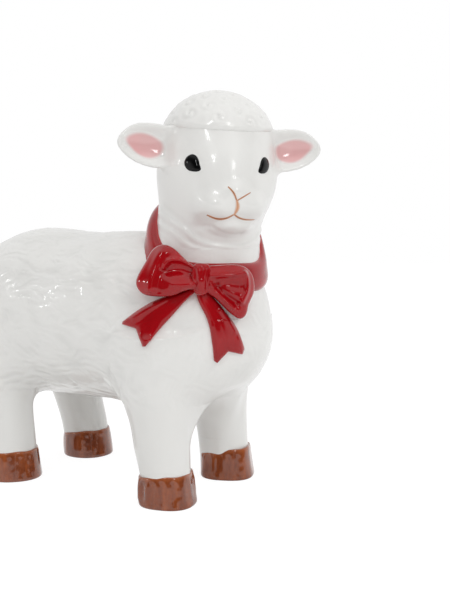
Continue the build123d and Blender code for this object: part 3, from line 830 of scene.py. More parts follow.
# %% Cut the skin into named pieces
head_up = out_of_head(np.array([0.0, -0.2, 1.0])) - HEAD_MIDDLE
head_up /= np.linalg.norm(head_up)
CUTS = {
    "shins": (np.array([0.0, 0, 47]), np.array([0.0, 0, 1])),
    "chest": (np.array([0.0, -50, 100]), np.array([0.0, 0.93, -0.37]) / math.hypot(0.93, 0.37)),
    "jaw": (out_of_head(np.array([0.0, -30, -44.5])), head_up),
    "ear_left": (out_of_head(np.array([36.4, 0, 0])), HEAD_AXES[:, 0]),
    "ear_right": (out_of_head(np.array([-36.4, 0, 0])), -HEAD_AXES[:, 0]),
}
skin_mesh = bmesh.new()
work = bpy.data.meshes.new("work")
work.from_pydata(net_points.tolist(), [], net_quads.tolist())
skin_mesh.from_mesh(work)
for name, (place, normal) in CUTS.items():
    low = 170 if "ear" in name else 0
    faces = [face for face in skin_mesh.faces if face.calc_center_median().z > low]
    edges = {edge for face in faces for edge in face.edges}
    verts = {vert for face in faces for vert in face.verts}
    bmesh.ops.bisect_plane(skin_mesh, geom=[*verts, *edges, *faces], dist=1e-4, plane_co=place,
                           plane_no=normal)
skin_mesh.to_mesh(work)
skin_mesh.free()
cut_points, corner_points, face_sizes = read_mesh(work)
face_starts = np.cumsum(face_sizes) - face_sizes
face_middles = np.add.reduceat(cut_points[corner_points], face_starts) / face_sizes[:, None]
side_of = {name: (face_middles - place) @ normal > 0 for name, (place, normal) in CUTS.items()}
above_shins = side_of["shins"]
in_head = side_of["jaw"] & (face_middles[:, 2] > 140)
ear_left, ear_right = (side_of["ear_" + side] & (face_middles[:, 2] > 178) for side in ("left", "right"))
left, rear = face_middles[:, 0] > 0, face_middles[:, 1] > 0
REGIONS = {
    "torso": (above_shins & side_of["chest"] & ~in_head, ["torso_shell"]),
    "chest_and_neck": (above_shins & ~side_of["chest"] & ~in_head, ["neck_shell"]),
    "head": (above_shins & in_head & ~ear_left & ~ear_right, ["head_shell"]),
    "left_ear": (ear_left, ["ear_left"]),
    "right_ear": (ear_right, ["ear_right"]),
    "shin_front_right": (~above_shins & ~rear & ~left, ["leg_front_right"]),
    "shin_front_left": (~above_shins & ~rear & left, ["leg_front_left"]),
    "shin_rear_right": (~above_shins & rear & ~left, ["leg_rear_right"]),
    "shin_rear_left": (~above_shins & rear & left, ["leg_rear_left"]),
}
normals = slope(skin, cut_points)
normals /= np.linalg.norm(normals, axis=1, keepdims=True)
# the carved depth also darkens the white glaze in the grooves as painted shade
depth_carved = np.clip(-carving(cut_points) / 0.45, 0, 1)
print({name: int(chosen.sum()) for name, (chosen, nodes) in REGIONS.items()})

# %% [markdown]
# The casting is hollow, but nothing inside it is ever seen, so each piece is closed with a flat lid
# where it was cut. Its points keep the normals of the carved field. Neighbours then bend the light
# alike at their shared line, and no seam shows, as on the real lamb.

# %% Close each piece and give it the field's normals
def add_region(name, chosen, nodes):
    """The chosen faces as a closed piece; its points keep the carved skin's normals."""
    mesh = bpy.data.meshes.new(name + "_open")
    sizes = face_sizes[chosen]
    corners = corner_points[np.repeat(chosen, face_sizes)]
    used, corners = np.unique(corners, return_inverse=True)
    splits = np.split(corners, np.cumsum(sizes)[:-1])
    mesh.from_pydata(cut_points[used].tolist(), [], [part.tolist() for part in splits])
    shell = bmesh.new()
    shell.from_mesh(mesh)
    rim = [edge for edge in shell.edges if edge.is_boundary]
    lids = bmesh.ops.holes_fill(shell, edges=rim, sides=0)["faces"]
    bmesh.ops.triangulate(shell, faces=lids)
    shell.to_mesh(mesh)
    shell.free()
    points, corners, sizes = read_mesh(mesh)
    starts = np.cumsum(sizes) - sizes
    faces = [corners[starts[sizes == n][:, None] + np.arange(n)] for n in np.unique(sizes)]
    bpy.data.meshes.remove(mesh)
    piece = add_piece(name, points, faces, white_glaze, nodes,
                      {"carved": depth_carved[used]})
    piece.data.normals_split_custom_set_from_vertices(normals[used].tolist())
    return piece


for name, (chosen, nodes) in REGIONS.items():
    piece = add_region(name, chosen, nodes)
    print(name, len(piece.data.polygons), "faces")

# %% [markdown]
# ## The fleece on the crown
# The cap is a dome of fleece set on the skull. Its rim is a small soft step that runs nearly straight
# over the brow and a little higher at the sides. It is a skin over rings: they leave the skull at the
# rim, roll over it and close in at the top. Small curls are pressed into it: each is a spiral wave
# round a spot, and the spots are spread evenly by the golden angle.

# %% Wool cap
CAP_MIDDLE = np.array([1.2, 1.2, 10.0])
CURL_COUNT = 46
spot = np.arange(CURL_COUNT) + 0.5
spot_rise = np.arcsin(0.24 + 0.76 * spot / CURL_COUNT)
spot_turn = spot * math.pi * (3 - math.sqrt(5)) + 0.6
CURLS = np.stack([
    CAP_MIDDLE[0] + 33.6 * np.cos(spot_rise) * np.sin(spot_turn),
    CAP_MIDDLE[1] - 33.2 * np.cos(spot_rise) * np.cos(spot_turn),
    CAP_MIDDLE[2] + 30.6 * np.sin(spot_rise)], -1)


def curls(q):
    """Sum over spots of cos(2 pi r / 5.2 - angle + phase) exp(-(r / 4.4)^2) of its own strength."""
    offset = q[:, None, :] - CURLS[None]
    out = CURLS - CAP_MIDDLE + [0, 0, 4]
    out = out / np.linalg.norm(out, axis=1, keepdims=True)
    side = np.cross(out, [0.0, 0, 1])
    side = side / np.linalg.norm(side, axis=1, keepdims=True)
    up = np.cross(side, out)
    a, b = (offset * side).sum(-1), (offset * up).sum(-1)
    r = np.hypot(a, b)
    number = np.arange(CURL_COUNT)
    turn = np.arctan2(b, a) * np.where(number % 2 == 0, 1, -1) + number * 2.4
    strength = 0.25 + 0.75 * ((number * 0.618) % 1) ** 1.5
    wave = np.cos(2 * math.pi * r / 5.2 - turn) * np.exp(-(r / 4.4) ** 2)
    return (wave * strength).sum(1)


COLUMNS, ROWS = 300, 110
around = np.linspace(0, 2 * math.pi, COLUMNS, endpoint=False)
rim_height = 13.2 + 3.6 * np.sin(around) ** 2
rise_start = np.arcsin((rim_height + 2.4 - 10) / 30.5)
share = np.linspace(0, 1, ROWS)[:, None]
rise = rise_start + (math.pi / 2 - rise_start) * share
dome_r, dome_z = 33.7 * np.cos(rise), 10 + 30.35 * np.sin(rise)
lip = np.array([(0.0, -1.6), (0.9, -1.1), (0.935, -0.8), (0.955, -0.5), (0.972, -0.1), (0.985, 0.45),
                (0.994, 1.05), (0.999, 1.75)])
lip_r = lip[:, :1] * dome_r[:1]
lip_z = rim_height + lip[:, 1:]
ring_r, ring_z = np.vstack([lip_r, dome_r]), np.vstack([lip_z, dome_z])
cap_rings = np.stack([CAP_MIDDLE[0] + ring_r * np.sin(around),
                      CAP_MIDDLE[1] - 0.985 * ring_r * np.cos(around), ring_z], -1)
cap_points, cap_faces = closed_rings(cap_rings)
outwards = cap_points - CAP_MIDDLE + [0, 0, 8]
outwards /= np.linalg.norm(outwards, axis=1, keepdims=True)
above_rim = step_up(cap_points[:, 2] - 13.2 - 3.6 * (cap_points[:, 0] / 33.7) ** 2, 0.6, 4.0)
ahead = step_up(-cap_points[:, 1], -12, 18)
cap_relief = above_rim * ((0.22 + 0.62 * ahead) * curls(cap_points)
                          + 0.22 * strokes(cap_points, 13, 15, (1, 1, 1), 31))
cap_points = cap_points + outwards * cap_relief[:, None]
add_piece("fleece_cap", out_of_head(cap_points), cap_faces, white_glaze, ["wool_cap"],
          {"carved": np.clip(-cap_relief / 0.6, 0, 1)})
print("cap of", len(cap_points), "points,", CURL_COUNT, "curls")

# %% [markdown]
# ## Pink linings of the ears
# The pink is sponged into the hollow of each ear and fades at its edge. It is a thin film: rings on
# an outline are dropped straight back onto the ear's field. A point dropped onto a field walks along
# one direction by the field's distance until it lands.

# %% Pink linings of the ears
PINK_OUTLINE = [(56.6, 9.2), (51.5, 13.0), (43.6, 13.6), (37.0, 11.6), (32.4, 8.0), (33.0, 2.0),
                (37.5, -1.0), (43, -1.6), (49, 0.6), (54, 5.0)]


def leaf_rings(points, middle, count, shares):
    """Rings between a middle and a closed outline: middle + share * (outline - middle)."""
    edge = outline(points, count)
    return middle + np.asarray(shares)[:, None, None] * (edge - middle)


def drop(field, points, way, rounds=40):
    """Each point walks along way by the field's value until it lies on the surface."""
    for _ in range(rounds):
        points = points + way * (0.9 * field(points))[..., None]
    return points


def face(q):
    """The head's field in head measures."""
    return head(out_of_head(q))


for side, side_name in ((1, "left"), (-1, "right")):
    shares = np.sin(np.linspace(0, math.pi / 2, 24))
    flat = leaf_rings(PINK_OUTLINE, np.array([43.5, 6.0]), 120, shares)
    start = np.stack([side * flat[..., 0], -22.0 + 0 * flat[..., 0], flat[..., 1]], -1)
    seat = drop(face, start, np.array([0.0, 1.0, 0.0]))
    film = (0.22 * rounded(shares, 6))[:, None, None] * np.array([0.0, 1.0, 0.0])
    rings = np.concatenate([seat - film + [0, 0.03, 0], (seat + film + [0, 0.3, 0])[::-1]])
    points, faces = closed_rings(rings)
    ring_share = np.concatenate([shares, shares[::-1]])
    fade = np.repeat(ring_share[1:-1], 120)
    fade = step_up(np.concatenate([[0], fade, [0]]), 0.72, 1.0)
    add_piece("pink_inside_" + side_name, out_of_head(points), faces, pink_glaze,
              ["ear_lining_" + side_name], {"edge": fade})
    print("pink", side_name, "of", len(points), "points")

# %% [markdown]
# ## Eyes, nose and mouth
# These are colour laid on the face, so they have to follow it, and they are dropped onto it like the
# pink. The eye is a drop with its point towards the nose, slightly domed, because the black is laid
# on thick.

# %% Eyes
EYE_OUTLINE = [(-5.1, 0.2), (-4.4, 2.7), (-2.7, 4.3), (-0.4, 4.9), (2.0, 3.9), (3.8, 1.2), (4.7, -1.4),
               (5.2, -4.1), (3.6, -4.8), (0.9, -4.75), (-2.4, -3.9), (-4.4, -2.0)]
EYES = {"right": (-1, 22.6, -4.5, 0.0), "left": (1, 19.2, -4.8, 0.3)}
for side_name, (side, out, up, lean) in EYES.items():
    turn = math.radians(36)
    straight = np.array([side * math.sin(turn), -math.cos(turn), 0.0])
    to_nose = np.array([-side * math.cos(turn), -math.sin(turn), 0.0])
    shares = np.sin(np.linspace(0, math.pi / 2, 20))
    flat = leaf_rings(EYE_OUTLINE, np.array([0.2, 0.0]), 96, shares)
    flat = flat - lean * np.stack([flat[..., 1], 0 * flat[..., 1]], -1)
    spread_points = (np.array([side * out, -28.6, up]) + straight * 12 + flat[..., :1] * to_nose
                     + flat[..., 1:] * np.array([0, 0, 1.0]))
    seat = drop(face, spread_points, -straight)
    dome = 1.25 * rounded(shares, 2.2)[:, None, None]
    front = seat + straight * (dome - 0.12)
    back = seat - straight * (0.12 + 0.8 * (1 - shares ** 4)[:, None, None])
    points, faces = closed_rings(np.concatenate([front, back[-2::-1]]))
    add_piece("black_eye_" + side_name, out_of_head(points), faces, black_glaze,
              ["eye_" + side_name])
    print("eye", side_name, "stands out to y", round(float(points[:, 1].min()), 1))

# %% [markdown]
# Nose and mouth are drawn with a fine brush: two arms and a broader stem, then the mouth to both
# sides. Each stroke is a thin thread on the face, widest where the brush was pressed, and its sides
# are warmer than its middle. The five threads are one piece.

# %% Threads of nose and mouth
THREADS = [(NOSE_ARMS[0], 0.35, 0.6, 0.5, 0.0), (NOSE_ARMS[1], 0.3, 0.45, 0.4, 0.0),
           (STEM, 0.5, 1.25, 0.5, 0.4), (MOUTH[0], 0.5, 0.62, 0.3, 0.0), (MOUTH[1], 0.5, 0.5, 0.25, 0.0)]
thread_points, thread_faces, thread_edge, offset = [], [], [], 0
for line, width_start, width_middle, width_end, paleness in THREADS:
    flat = path(line, 40)
    run = np.linspace(0, 1, 40)
    half = curve(run, [0, 0.5, 1], [width_start, width_middle, width_end])
    tangent = np.gradient(flat, axis=0)
    tangent /= np.linalg.norm(tangent, axis=1, keepdims=True)
    across = np.stack([-tangent[:, 1], tangent[:, 0]], -1)
    angle = np.linspace(0, 2 * math.pi, 16, endpoint=False)
    reach = half[:, None] * np.cos(angle)
    side_points = flat[:, None, :] + reach[..., None] * across[:, None, :]
    start = np.stack([side_points[..., 0], np.full(reach.shape, -50.0), side_points[..., 1]], -1)
    seat = drop(face, start, np.array([0.0, 1.0, 0.0]))
    lift = 0.16 * np.sin(angle) * rounded(np.abs(2 * run - 1), 8)[:, None]
    seat[..., 1] -= lift + 0.03
    ends = [seat[k].mean(0) * np.ones_like(seat[0]) for k in (0, -1)]
    points, faces = closed_rings(np.stack([ends[0], *seat, ends[1]]))
    if volume_of(points, faces) < 0:
        faces = [block[:, ::-1] for block in faces]
    thread_points.append(points)
    thread_faces.append([block + offset for block in faces])
    offset += len(points)
    ring_edge = np.tile(paleness + (1 - paleness) * np.abs(np.cos(angle)), 40)
    thread_edge.append(np.concatenate([[0.5], ring_edge, [0.5]]))
all_faces = [np.vstack([part[k] for part in thread_faces]) for k in range(2)]
add_piece("drawn_nose_and_mouth", out_of_head(np.vstack(thread_points)), all_faces, line_glaze,
          ["nose_and_mouth"], {"edge": np.concatenate(thread_edge)})
print(len(THREADS), "threads,", offset, "points")

# %% [markdown]
# ## Hooves
# A hoof is brown glaze over clay that flares to a flat sole. Its upper edge is a soft lip that stands
# a little proud of the leg and climbs towards the front. Rings of a slightly squared circle make it,
# and slow upright waves round it stand for the brush marks that break up the light.

# %% Hooves
HOOF_PROFILE = [
    (0.0, 0.0), (0.62, 0.0), (0.93, 0.0), (0.972, 0.012), (0.995, 0.05), (1.0, 0.13), (0.994, 0.3),
    (0.982, 0.48), (0.968, 0.66), (0.954, 0.8), (0.944, 0.88), (0.93, 0.94), (0.915, 0.975),
    (0.902, 0.99), (0.885, 1.0), (0.86, 0.985), (0.8, 0.93), (0.0, 0.9)]
# middle x, y; squareness; degrees it is turned; climb to the front; wave; half width; half length
HOOVES = {
    "front_right": (-34.2, -55.6, 2.5, 12, 1.1, 0.45, 15.3, 16.2),
    "front_left": (34.6, -56.6, 2.6, 20, 2.3, 0.22, 16.6, 17.0),
    "rear_right": (-34.75, 61.0, 2.2, 45, 1.0, 0.1, 16.9, 17.1),
    "rear_left": (34.75, 57.0, 2.1, 0, 1.3, 0.1, 16.9, 17.1)}
profile = path(HOOF_PROFILE[1:-1], 60)
profile = np.vstack([[0, 0], profile, [0, 0.93]])
profile[:, 1] = np.clip(profile[:, 1], 0, 1)
for name, (x, y, square, turned, climb, flute, half_a, half_b) in HOOVES.items():
    count = 192
    angle = np.linspace(0, 2 * math.pi, count, endpoint=False)
    c, s = np.cos(angle), np.sin(angle)
    flat_c, flat_s = (wave(angle - math.radians(turned)) for wave in (np.cos, np.sin))
    radius = (np.abs(flat_c / half_a) ** square + np.abs(flat_s / half_b) ** square) ** (-1 / square)
    height = 17.6 - climb * s + 0.3 * np.sin(3 * angle + x) + 0.15 * np.sin(7 * angle + y)
    share, up = profile[:, :1], profile[:, 1:]
    beside = radius * flat_s + 0.35 * np.sin(7 * up + x) + 0.15 * np.sin(19 * up)
    marks = flute * (np.cos(2 * math.pi * beside / 6.6) + 0.3 * np.sin(11 * angle - y))
    r = share * radius
    bulge = marks * step_up(up, 0.05, 0.35) * step_up(1 - up, 0.06, 0.3) * (share > 0.8)
    toe = 1.6 * (1 - up) ** 1.5 * share
    rings = np.stack([
        x + (r + bulge) * c, y - toe + (r + bulge) * s,
        up * height * np.ones(count)], -1)
    points, faces = closed_rings(rings)
    upper = np.repeat(step_up(profile[1:-1, 1], 0.86, 0.97), count)
    add_piece("brown_hoof_" + name, points, faces, brown_glaze, ["hoof_" + name],
              {"edge": np.concatenate([[0], upper, [1]])})
    print("hoof", name, np.round(np.ptp(points, axis=0), 1), "mm")

# %% [markdown]
# ## Tail
# The photo hides the tail. A lamb's is short and hangs close to the rump, so a rounded drop of
# carved fleece is set against it.

# %% Tail
turn = np.linspace(0, 2 * math.pi, 120, endpoint=False)
fall = np.linspace(0, math.pi, 90)[:, None]
width = 8.2 * np.sin(fall) * (1 + 0.12 * np.cos(fall))
tail_points = np.stack([
    width * np.cos(turn), 117.6 + 0.9 * width * np.sin(turn) - 1.6 * np.cos(fall),
    101 + 17.4 * np.cos(fall) * np.ones_like(turn)], -1)
tail_points, tail_faces = closed_rings(tail_points)
tail_out = tail_points - [0, 117.6, 101]
tail_out /= np.linalg.norm(tail_out, axis=1, keepdims=True)
tail_relief = 0.5 * strokes(tail_points, 7, 4.4, (1, 1, 0.5), 71) + 0.12 * strokes(
    tail_points, 5, 2.6, (1, 1, 0.5), 73)
tail_points = tail_points + tail_out * tail_relief[:, None]
add_piece("fleece_tail", tail_points, tail_faces, white_glaze, ["tail"],
          {"carved": np.clip(-tail_relief / 0.7, 0, 1)})
print("tail reaches y", round(float(tail_points[:, 1].max()), 1))

# %% [markdown]
# ## Ribbon
# A flat ribbon of clay lies round the neck, tilted down to the bow. For each direction round the neck
# and each place across the ribbon, a point walks out until it meets the neck, and the ribbon's
# section is laid on that: rounded outside, sunk into the neck inside.

# %% Neck ribbon
RIBBON_HALF = 8.6
RIBBON_TURN = [-180, -145, -110, -84, -60, -30, 0, 30, 60, 80, 96, 115, 145]
RIBBON_RISE = [168, 163, 150, 136, 129.5, 128.5, 128.5, 131.5, 140, 148, 156, 164, 168]
turns = np.linspace(-180, 180, 320, endpoint=False)
rise_turns = np.concatenate([np.array(RIBBON_TURN) + k for k in (-360, 0, 360)])
mid_height = curve(turns, rise_turns, RIBBON_RISE * 3)
heading = np.radians(55 + turns)
mid_x, mid_y = (curve(mid_height, NECK_UP, v) for v in (NECK_X, NECK_Y))
outward = np.stack([-np.sin(heading), -np.cos(heading), np.zeros_like(heading)], -1)
centre = np.stack([mid_x, mid_y, mid_height], -1)
line = centre + outward * curve(mid_height, NECK_UP, NECK_R)[:, None]
along = np.roll(line, -1, axis=0) - np.roll(line, 1, axis=0)
upward = np.cross(along, outward)
upward *= np.sign(upward[:, 2:]) / np.linalg.norm(upward, axis=1, keepdims=True)
across = RIBBON_HALF * np.sin(np.linspace(-math.pi / 2, math.pi / 2, 30))
seat = centre[:, None] + 10 * outward[:, None, :] + across[None, :, None] * upward[:, None, :]
for _ in range(60):
    seat = seat - outward[:, None, :] * neck(seat)[..., None] * 0.8
swell = 3.2 * rounded(np.abs(across / RIBBON_HALF), 3.2) - 0.5
leaning = 1 + 1.1 * np.exp(-((turns - 100) / 45) ** 2) + 0.4 * np.exp(-((turns + 90) / 40) ** 2)
swell = swell * leaning[:, None] + 0.18 * np.sin(5 * heading)[:, None] * np.cos(across * 0.4)
outside = seat + outward[:, None, :] * swell[..., None]
inside = seat - outward[:, None, :] * 1.6
hoop = np.concatenate([outside, inside[:, ::-1]], axis=1)
ribbon_edge = np.tile(np.concatenate([step_up(np.abs(across), 8.2, 8.6), np.ones(30)]), len(turns))
points, faces = closed_hoop(hoop)
add_piece("red_neck_ribbon", points, faces, red_glaze, ["neck_ribbon"], {"edge": ribbon_edge})
print("ribbon's middle from height", round(mid_height.min(), 1), "to", round(mid_height.max(), 1))

# %% [markdown]
# ## Bow
# The bow was modelled by hand as a relief on the chest, so it is made as one: a plane stands before
# the chest, with u across, v up and w outwards, and the bow's surface is a height over that plane.
# A ridge is a raised path, a pocket a pressed-in one. Each loop is a skin of rings that starts at
# the middle of its face, rolls over its edge and goes down into the chest.

# %% The bow's plane and its reliefs
BOW_TURN = math.radians(55)
BOW_OUT = np.array([-math.sin(BOW_TURN), -math.cos(BOW_TURN), 0.0])
BOW_ACROSS = np.array([math.cos(BOW_TURN), -math.sin(BOW_TURN), 0.0])
BOW_MIDDLE = np.array([-0.7, -55.6, 128.0]) + 46 * BOW_OUT


def from_bow(flat, w):
    """(u, v) on the bow's plane and w outwards to ground measures."""
    return (BOW_MIDDLE + flat[..., :1] * BOW_ACROSS + flat[..., 1:] * np.array([0, 0, 1.0])
            + w[..., None] * BOW_OUT)


def chest_depth(flat):
    """How far the skin lies along w below each point of the plane: negative is behind the plane."""
    start = from_bow(flat, np.full(flat.shape[:-1], 25.0))
    landed = drop(body, start, -BOW_OUT, 60)
    return (landed - BOW_MIDDLE) @ BOW_OUT


def ridge(flat, line, height, width):
    """height * exp(-(distance to the path / width)^2) on the bow's plane."""
    return height * near_path(flat, path(line, 12), width)


def left_relief(flat):
    """Rear loop: a rim over a pocket, and the fold where its end turns back."""
    pocket = ridge(flat, [(-17, 5.2), (-12, 5.8), (-6.5, 4.2), (-3, 2.4)], -3.4, 3.6)
    rim = ridge(flat, [(-20.4, 6.6), (-19.2, 9.4), (-15.6, 11.2), (-9.3, 10.2), (-4.6, 7.8), (-1.4, 4.6)],
                1.7, 1.25)
    fold = ridge(flat, [(-22.4, 15.5), (-24.6, 9), (-27.6, 0), (-28.6, -5)], 1.5, 2.6)
    crease = ridge(flat, [(-21, 4), (-22.4, -2), (-23, -7)], -1.1, 2.6)
    pleat = ridge(flat, [(-16, -2.2), (-9, -2.6), (-4, -1.5)], 0.9, 1.6)
    return pocket + rim + fold + crease + pleat


def right_relief(flat):
    """Front loop: the edge where its top turns to its face, an upright fold and a slanting pocket."""
    edge = ridge(flat, [(5, 2.6), (12, 2.8), (19, 3.2), (24, 4.0)], 1.5, 1.5)
    upright = ridge(flat, [(24.6, 4.4), (25.4, -1), (25.0, -6), (22, -12)], 1.6, 1.5)
    hollow = ridge(flat, [(9, -2.2), (15, -2.6), (20.5, -3.4)], -2.0, 3.0)
    rim = ridge(flat, [(5.2, -2.6), (9, -7), (12.5, -10.6), (17.4, -15)], 1.5, 1.2)
    pocket = ridge(flat, [(8.6, -4.4), (13, -8.6), (18.4, -12.4)], -2.4, 2.4)
    return edge + upright + hollow + rim + pocket


def lump(flat, height, middle, rim, draw_in, sink, rows):
    """A relief over the plane, and a wall (1 - d) rim + d floor that draws in on its way down."""
    down = np.linspace(0, 1, rows)[1:, None]
    wall_flat = middle + draw_in(down)[..., None] * (flat[-1] - middle)
    wall = from_bow(wall_flat, rim * (1 - down) + (chest_depth(wall_flat) - sink) * down)
    bottom = wall[-1].mean(0) * np.ones_like(wall[:1])
    return closed_rings(np.concatenate([from_bow(flat, height), wall, bottom])), down[:, 0]


print("skin behind the knot:", round(float(chest_depth(np.zeros((1, 2)))[0]), 1), "mm")

# %% [markdown]
# A loop is a flattened tube of ribbon that the maker pressed against the chest, so only its front and
# its rolled edge show. The crown of the relief gives it its fullness, and it leans with the chest
# behind it, so that its far end does not stand off.

# %% Loops of the bow
LOOPS = {
    "bow_loop_rear": (
        [(-1.5, 5.5), (-6.5, 9.6), (-10.6, 13.4), (-16.6, 18.4), (-21.5, 19.2), (-26.2, 16.4),
         (-29.8, 10.3), (-33.6, 3.8), (-35.2, -2.6), (-32, -7.2), (-27, -8.6), (-20.5, -8.9),
         (-14.5, -8.1), (-7, -5.2), (-1.5, -4.2)],
        (-14.0, 3.6), left_relief),
    "bow_loop_front": (
        [(1.5, 6.6), (8, 8.0), (16.8, 8.4), (23.5, 7.4), (27.6, 4.4), (29.8, -1.4), (29.2, -8.1),
         (26.2, -14.2), (24.6, -19.4), (21.6, -21.4), (17.6, -19.6), (12, -14.6), (7, -9.6),
         (1.5, -5.2)],
        (14.5, -3.2), right_relief),
}
LOOP_COUNT, LOOP_ROWS, LOOP_SUNK = 220, 70, 4.4
for name, (edge_points, middle, relief) in LOOPS.items():
    shares = np.linspace(0, 1, LOOP_ROWS)
    flat = leaf_rings(edge_points, np.array(middle), LOOP_COUNT, shares)
    behind = chest_depth(flat)
    level = 2.6 + 0.42 * (behind - behind[0, 0]) - LOOP_SUNK
    crown = 4.6 * rounded(shares, 3.4)[:, None]
    inner = step_up(1 - shares, 0.0, 0.22)[:, None]
    (points, faces), down = lump(
        flat, level + crown + inner * relief(flat), np.array(middle), level[-1],
        lambda d: 1 + 0.012 * np.sin(d * math.pi) - 0.16 * d ** 1.5, 1.2, 26)
    loop_edge = np.concatenate([np.zeros((LOOP_ROWS - 1) * LOOP_COUNT),
                                np.repeat(step_up(down, 0.75, 1.0), LOOP_COUNT)])
    add_piece("red_" + name, points, faces, red_glaze, [name],
              {"edge": np.concatenate([[0], loop_edge, [1]])})
    print(name, len(points), "points")

# %% [markdown]
# The knot is a pinched lump over the ends of the loops, wider at its top, with upright creases where
# the ribbon is drawn together.

# %% Knot
KNOT_OUTLINE = [(-5.8, 1.5), (-5.2, 5.6), (-3.6, 8.6), (0.6, 9.2), (4.2, 8.0), (5.2, 4.6), (5.0, 0),
                (4.4, -4.4), (2.6, -7.6), (-0.6, -8.4), (-3.4, -7.2), (-5.2, -3.4)]
KNOT_MIDDLE, KNOT_RIM = np.array([-0.4, 0.4]), 0.6
shares = np.linspace(0, 1, 40)
flat = leaf_rings(KNOT_OUTLINE, KNOT_MIDDLE, 140, shares)
creases = (ridge(flat, [(-3.6, 6), (-3.0, 0), (-3.4, -5)], -0.9, 0.9)
           + ridge(flat, [(3.4, 6), (2.6, 0), (2.4, -6)], -1.1, 0.9)
           + ridge(flat, [(0.4, 7), (0.2, 1.5)], -0.5, 1.2))
inner = step_up(1 - shares, 0.0, 0.3)[:, None]
crown = 4.0 * rounded(shares, 2.4)[:, None]
(points, faces), down = lump(flat, KNOT_RIM + crown + inner * creases, KNOT_MIDDLE, KNOT_RIM,
                             lambda d: 1 - 0.12 * d, 1.0, 16)
add_piece("red_bow_knot", points, faces, red_glaze, ["bow_knot"],
          {"edge": np.zeros(len(points))})
print("knot of", len(points), "points")

# %% [markdown]
# The two ends hang from the knot and lie on the chest. Each is a patch between its upper and lower
# edge, whose far side is bent into the fishtail cut. A front grid and a back grid are joined all
# round, with the back just under the skin.

# %% Ribbon ends
def closed_slab(front, back):
    """Points and faces of two grids of one shape, joined all round their border."""
    rows, columns = front.shape[:2]
    number = np.arange(rows * columns).reshape(rows, columns)
    a, b, c, d = number[:-1, :-1], number[1:, :-1], number[1:, 1:], number[:-1, 1:]
    faces = np.stack([a, b, c, d], -1).reshape(-1, 4)
    under = faces[:, ::-1] + rows * columns
    border = np.concatenate([number[0], number[1:, -1], number[-1, -2::-1], number[-2:0:-1, 0]])
    following = np.roll(border, -1)
    sides = np.stack([border, following, following + rows * columns, border + rows * columns], -1)
    return np.vstack([front.reshape(-1, 3), back.reshape(-1, 3)]), [np.vstack([faces, under, sides])]


def end_patch(upper, lower, tail_line, rows, columns):
    """Between two edges by t, with the far side pulled onto the cut's line by s to the 4th."""
    s = np.linspace(0, 1, rows)[:, None, None]
    t = np.linspace(0, 1, columns)[None, :, None]
    plain = path(upper, rows)[:, None] * (1 - t) + path(lower, rows)[:, None] * t
    ends = plain[-1] * np.ones_like(plain)
    places = [0, 0.12, 0.5, 0.88, 1]
    cut = np.stack([np.interp(t.ravel(), places, [p[k] for p in tail_line]) for k in range(2)], -1)
    return plain + s ** 4 * (cut - ends)


ENDS = {
    "ribbon_end_rear": (
        [(-2.0, -3.0), (-11, -6.6), (-19.5, -9.0), (-32, -15.4), (-41.2, -22.4)],
        [(-1.0, -5.0), (-4.7, -7.9), (-15.7, -19.5), (-23.3, -27.8), (-28.9, -34.6)],
        [(-41.2, -22.4), (-41.4, -23.8), (-34.1, -25.7), (-30.6, -34.8), (-28.9, -34.6)],
        [(-19, -10.2), (-28, -15), (-37, -21)]),
    "ribbon_end_front": (
        [(2.0, -4.0), (8.1, -10.8), (14.3, -18.2), (19.9, -26.8), (23.8, -37.0)],
        [(-3.0, -4.5), (-1.4, -11.4), (2.5, -19.4), (4.9, -28.7), (6.6, -42.6)],
        [(23.8, -37.0), (22.6, -40.2), (14.4, -37.9), (8.6, -44.0), (6.6, -42.6)],
        [(11.6, -16.4), (15.6, -22.6), (18.6, -28.4)]),
}
for name, (upper, lower, tail_line, fold_line) in ENDS.items():
    rows, columns = 110, 48
    flat = end_patch(upper, lower, tail_line, rows, columns) * 1.05
    behind = chest_depth(flat)
    t = np.abs(np.linspace(-1, 1, columns))[None, :]
    s = np.linspace(0, 1, rows)[:, None]
    round_off = rounded(t, 5) * rounded(s, 40)
    lie = 3.3 * round_off - 0.5 + 1.2 * step_up(0.25 - s, -0.1, 0.25)
    lie = lie + round_off * (ridge(flat, fold_line, 0.9, 1.5) - 0.5 * np.exp(-((t - 0.15) / 0.4) ** 2) * s)
    points, faces = closed_slab(from_bow(flat, behind + lie), from_bow(flat, behind - 1.4))
    rim = np.maximum(step_up(t * np.ones_like(s), 0.9, 1.0), step_up(s * np.ones_like(t), 0.975, 1.0))
    add_piece("red_" + name, points, faces, red_glaze, [name],
              {"edge": np.concatenate([rim.ravel(), np.ones(rows * columns)])})
    print(name, len(points), "points")

# %% [markdown]
# ## Setting, light and camera
# The lamb stands on a plain white floor in a white room with soft lamps. Glossy glaze shows the
# studio round it. The photo's red is deep because it mirrors the dark room behind the camera, and its
# edges are pale because they mirror white paper behind the lamb. One function says which directions
# are bright, and floor and room both use it for mirrored rays.

# %% Which sides of the room are bright
VIEW_TURN, VIEW_RISE = math.radians(-60.93), math.radians(3.47)


def ramp(tree, value, low, high):
    """A smooth 0 to 1 step between low and high."""
    node = tree.nodes.new("ShaderNodeMapRange")
    node.interpolation_type = "SMOOTHSTEP"
    node.inputs["From Min"].default_value = low
    node.inputs["From Max"].default_value = high
    tree.links.new(value, node.inputs["Value"])
    return node.outputs["Result"]


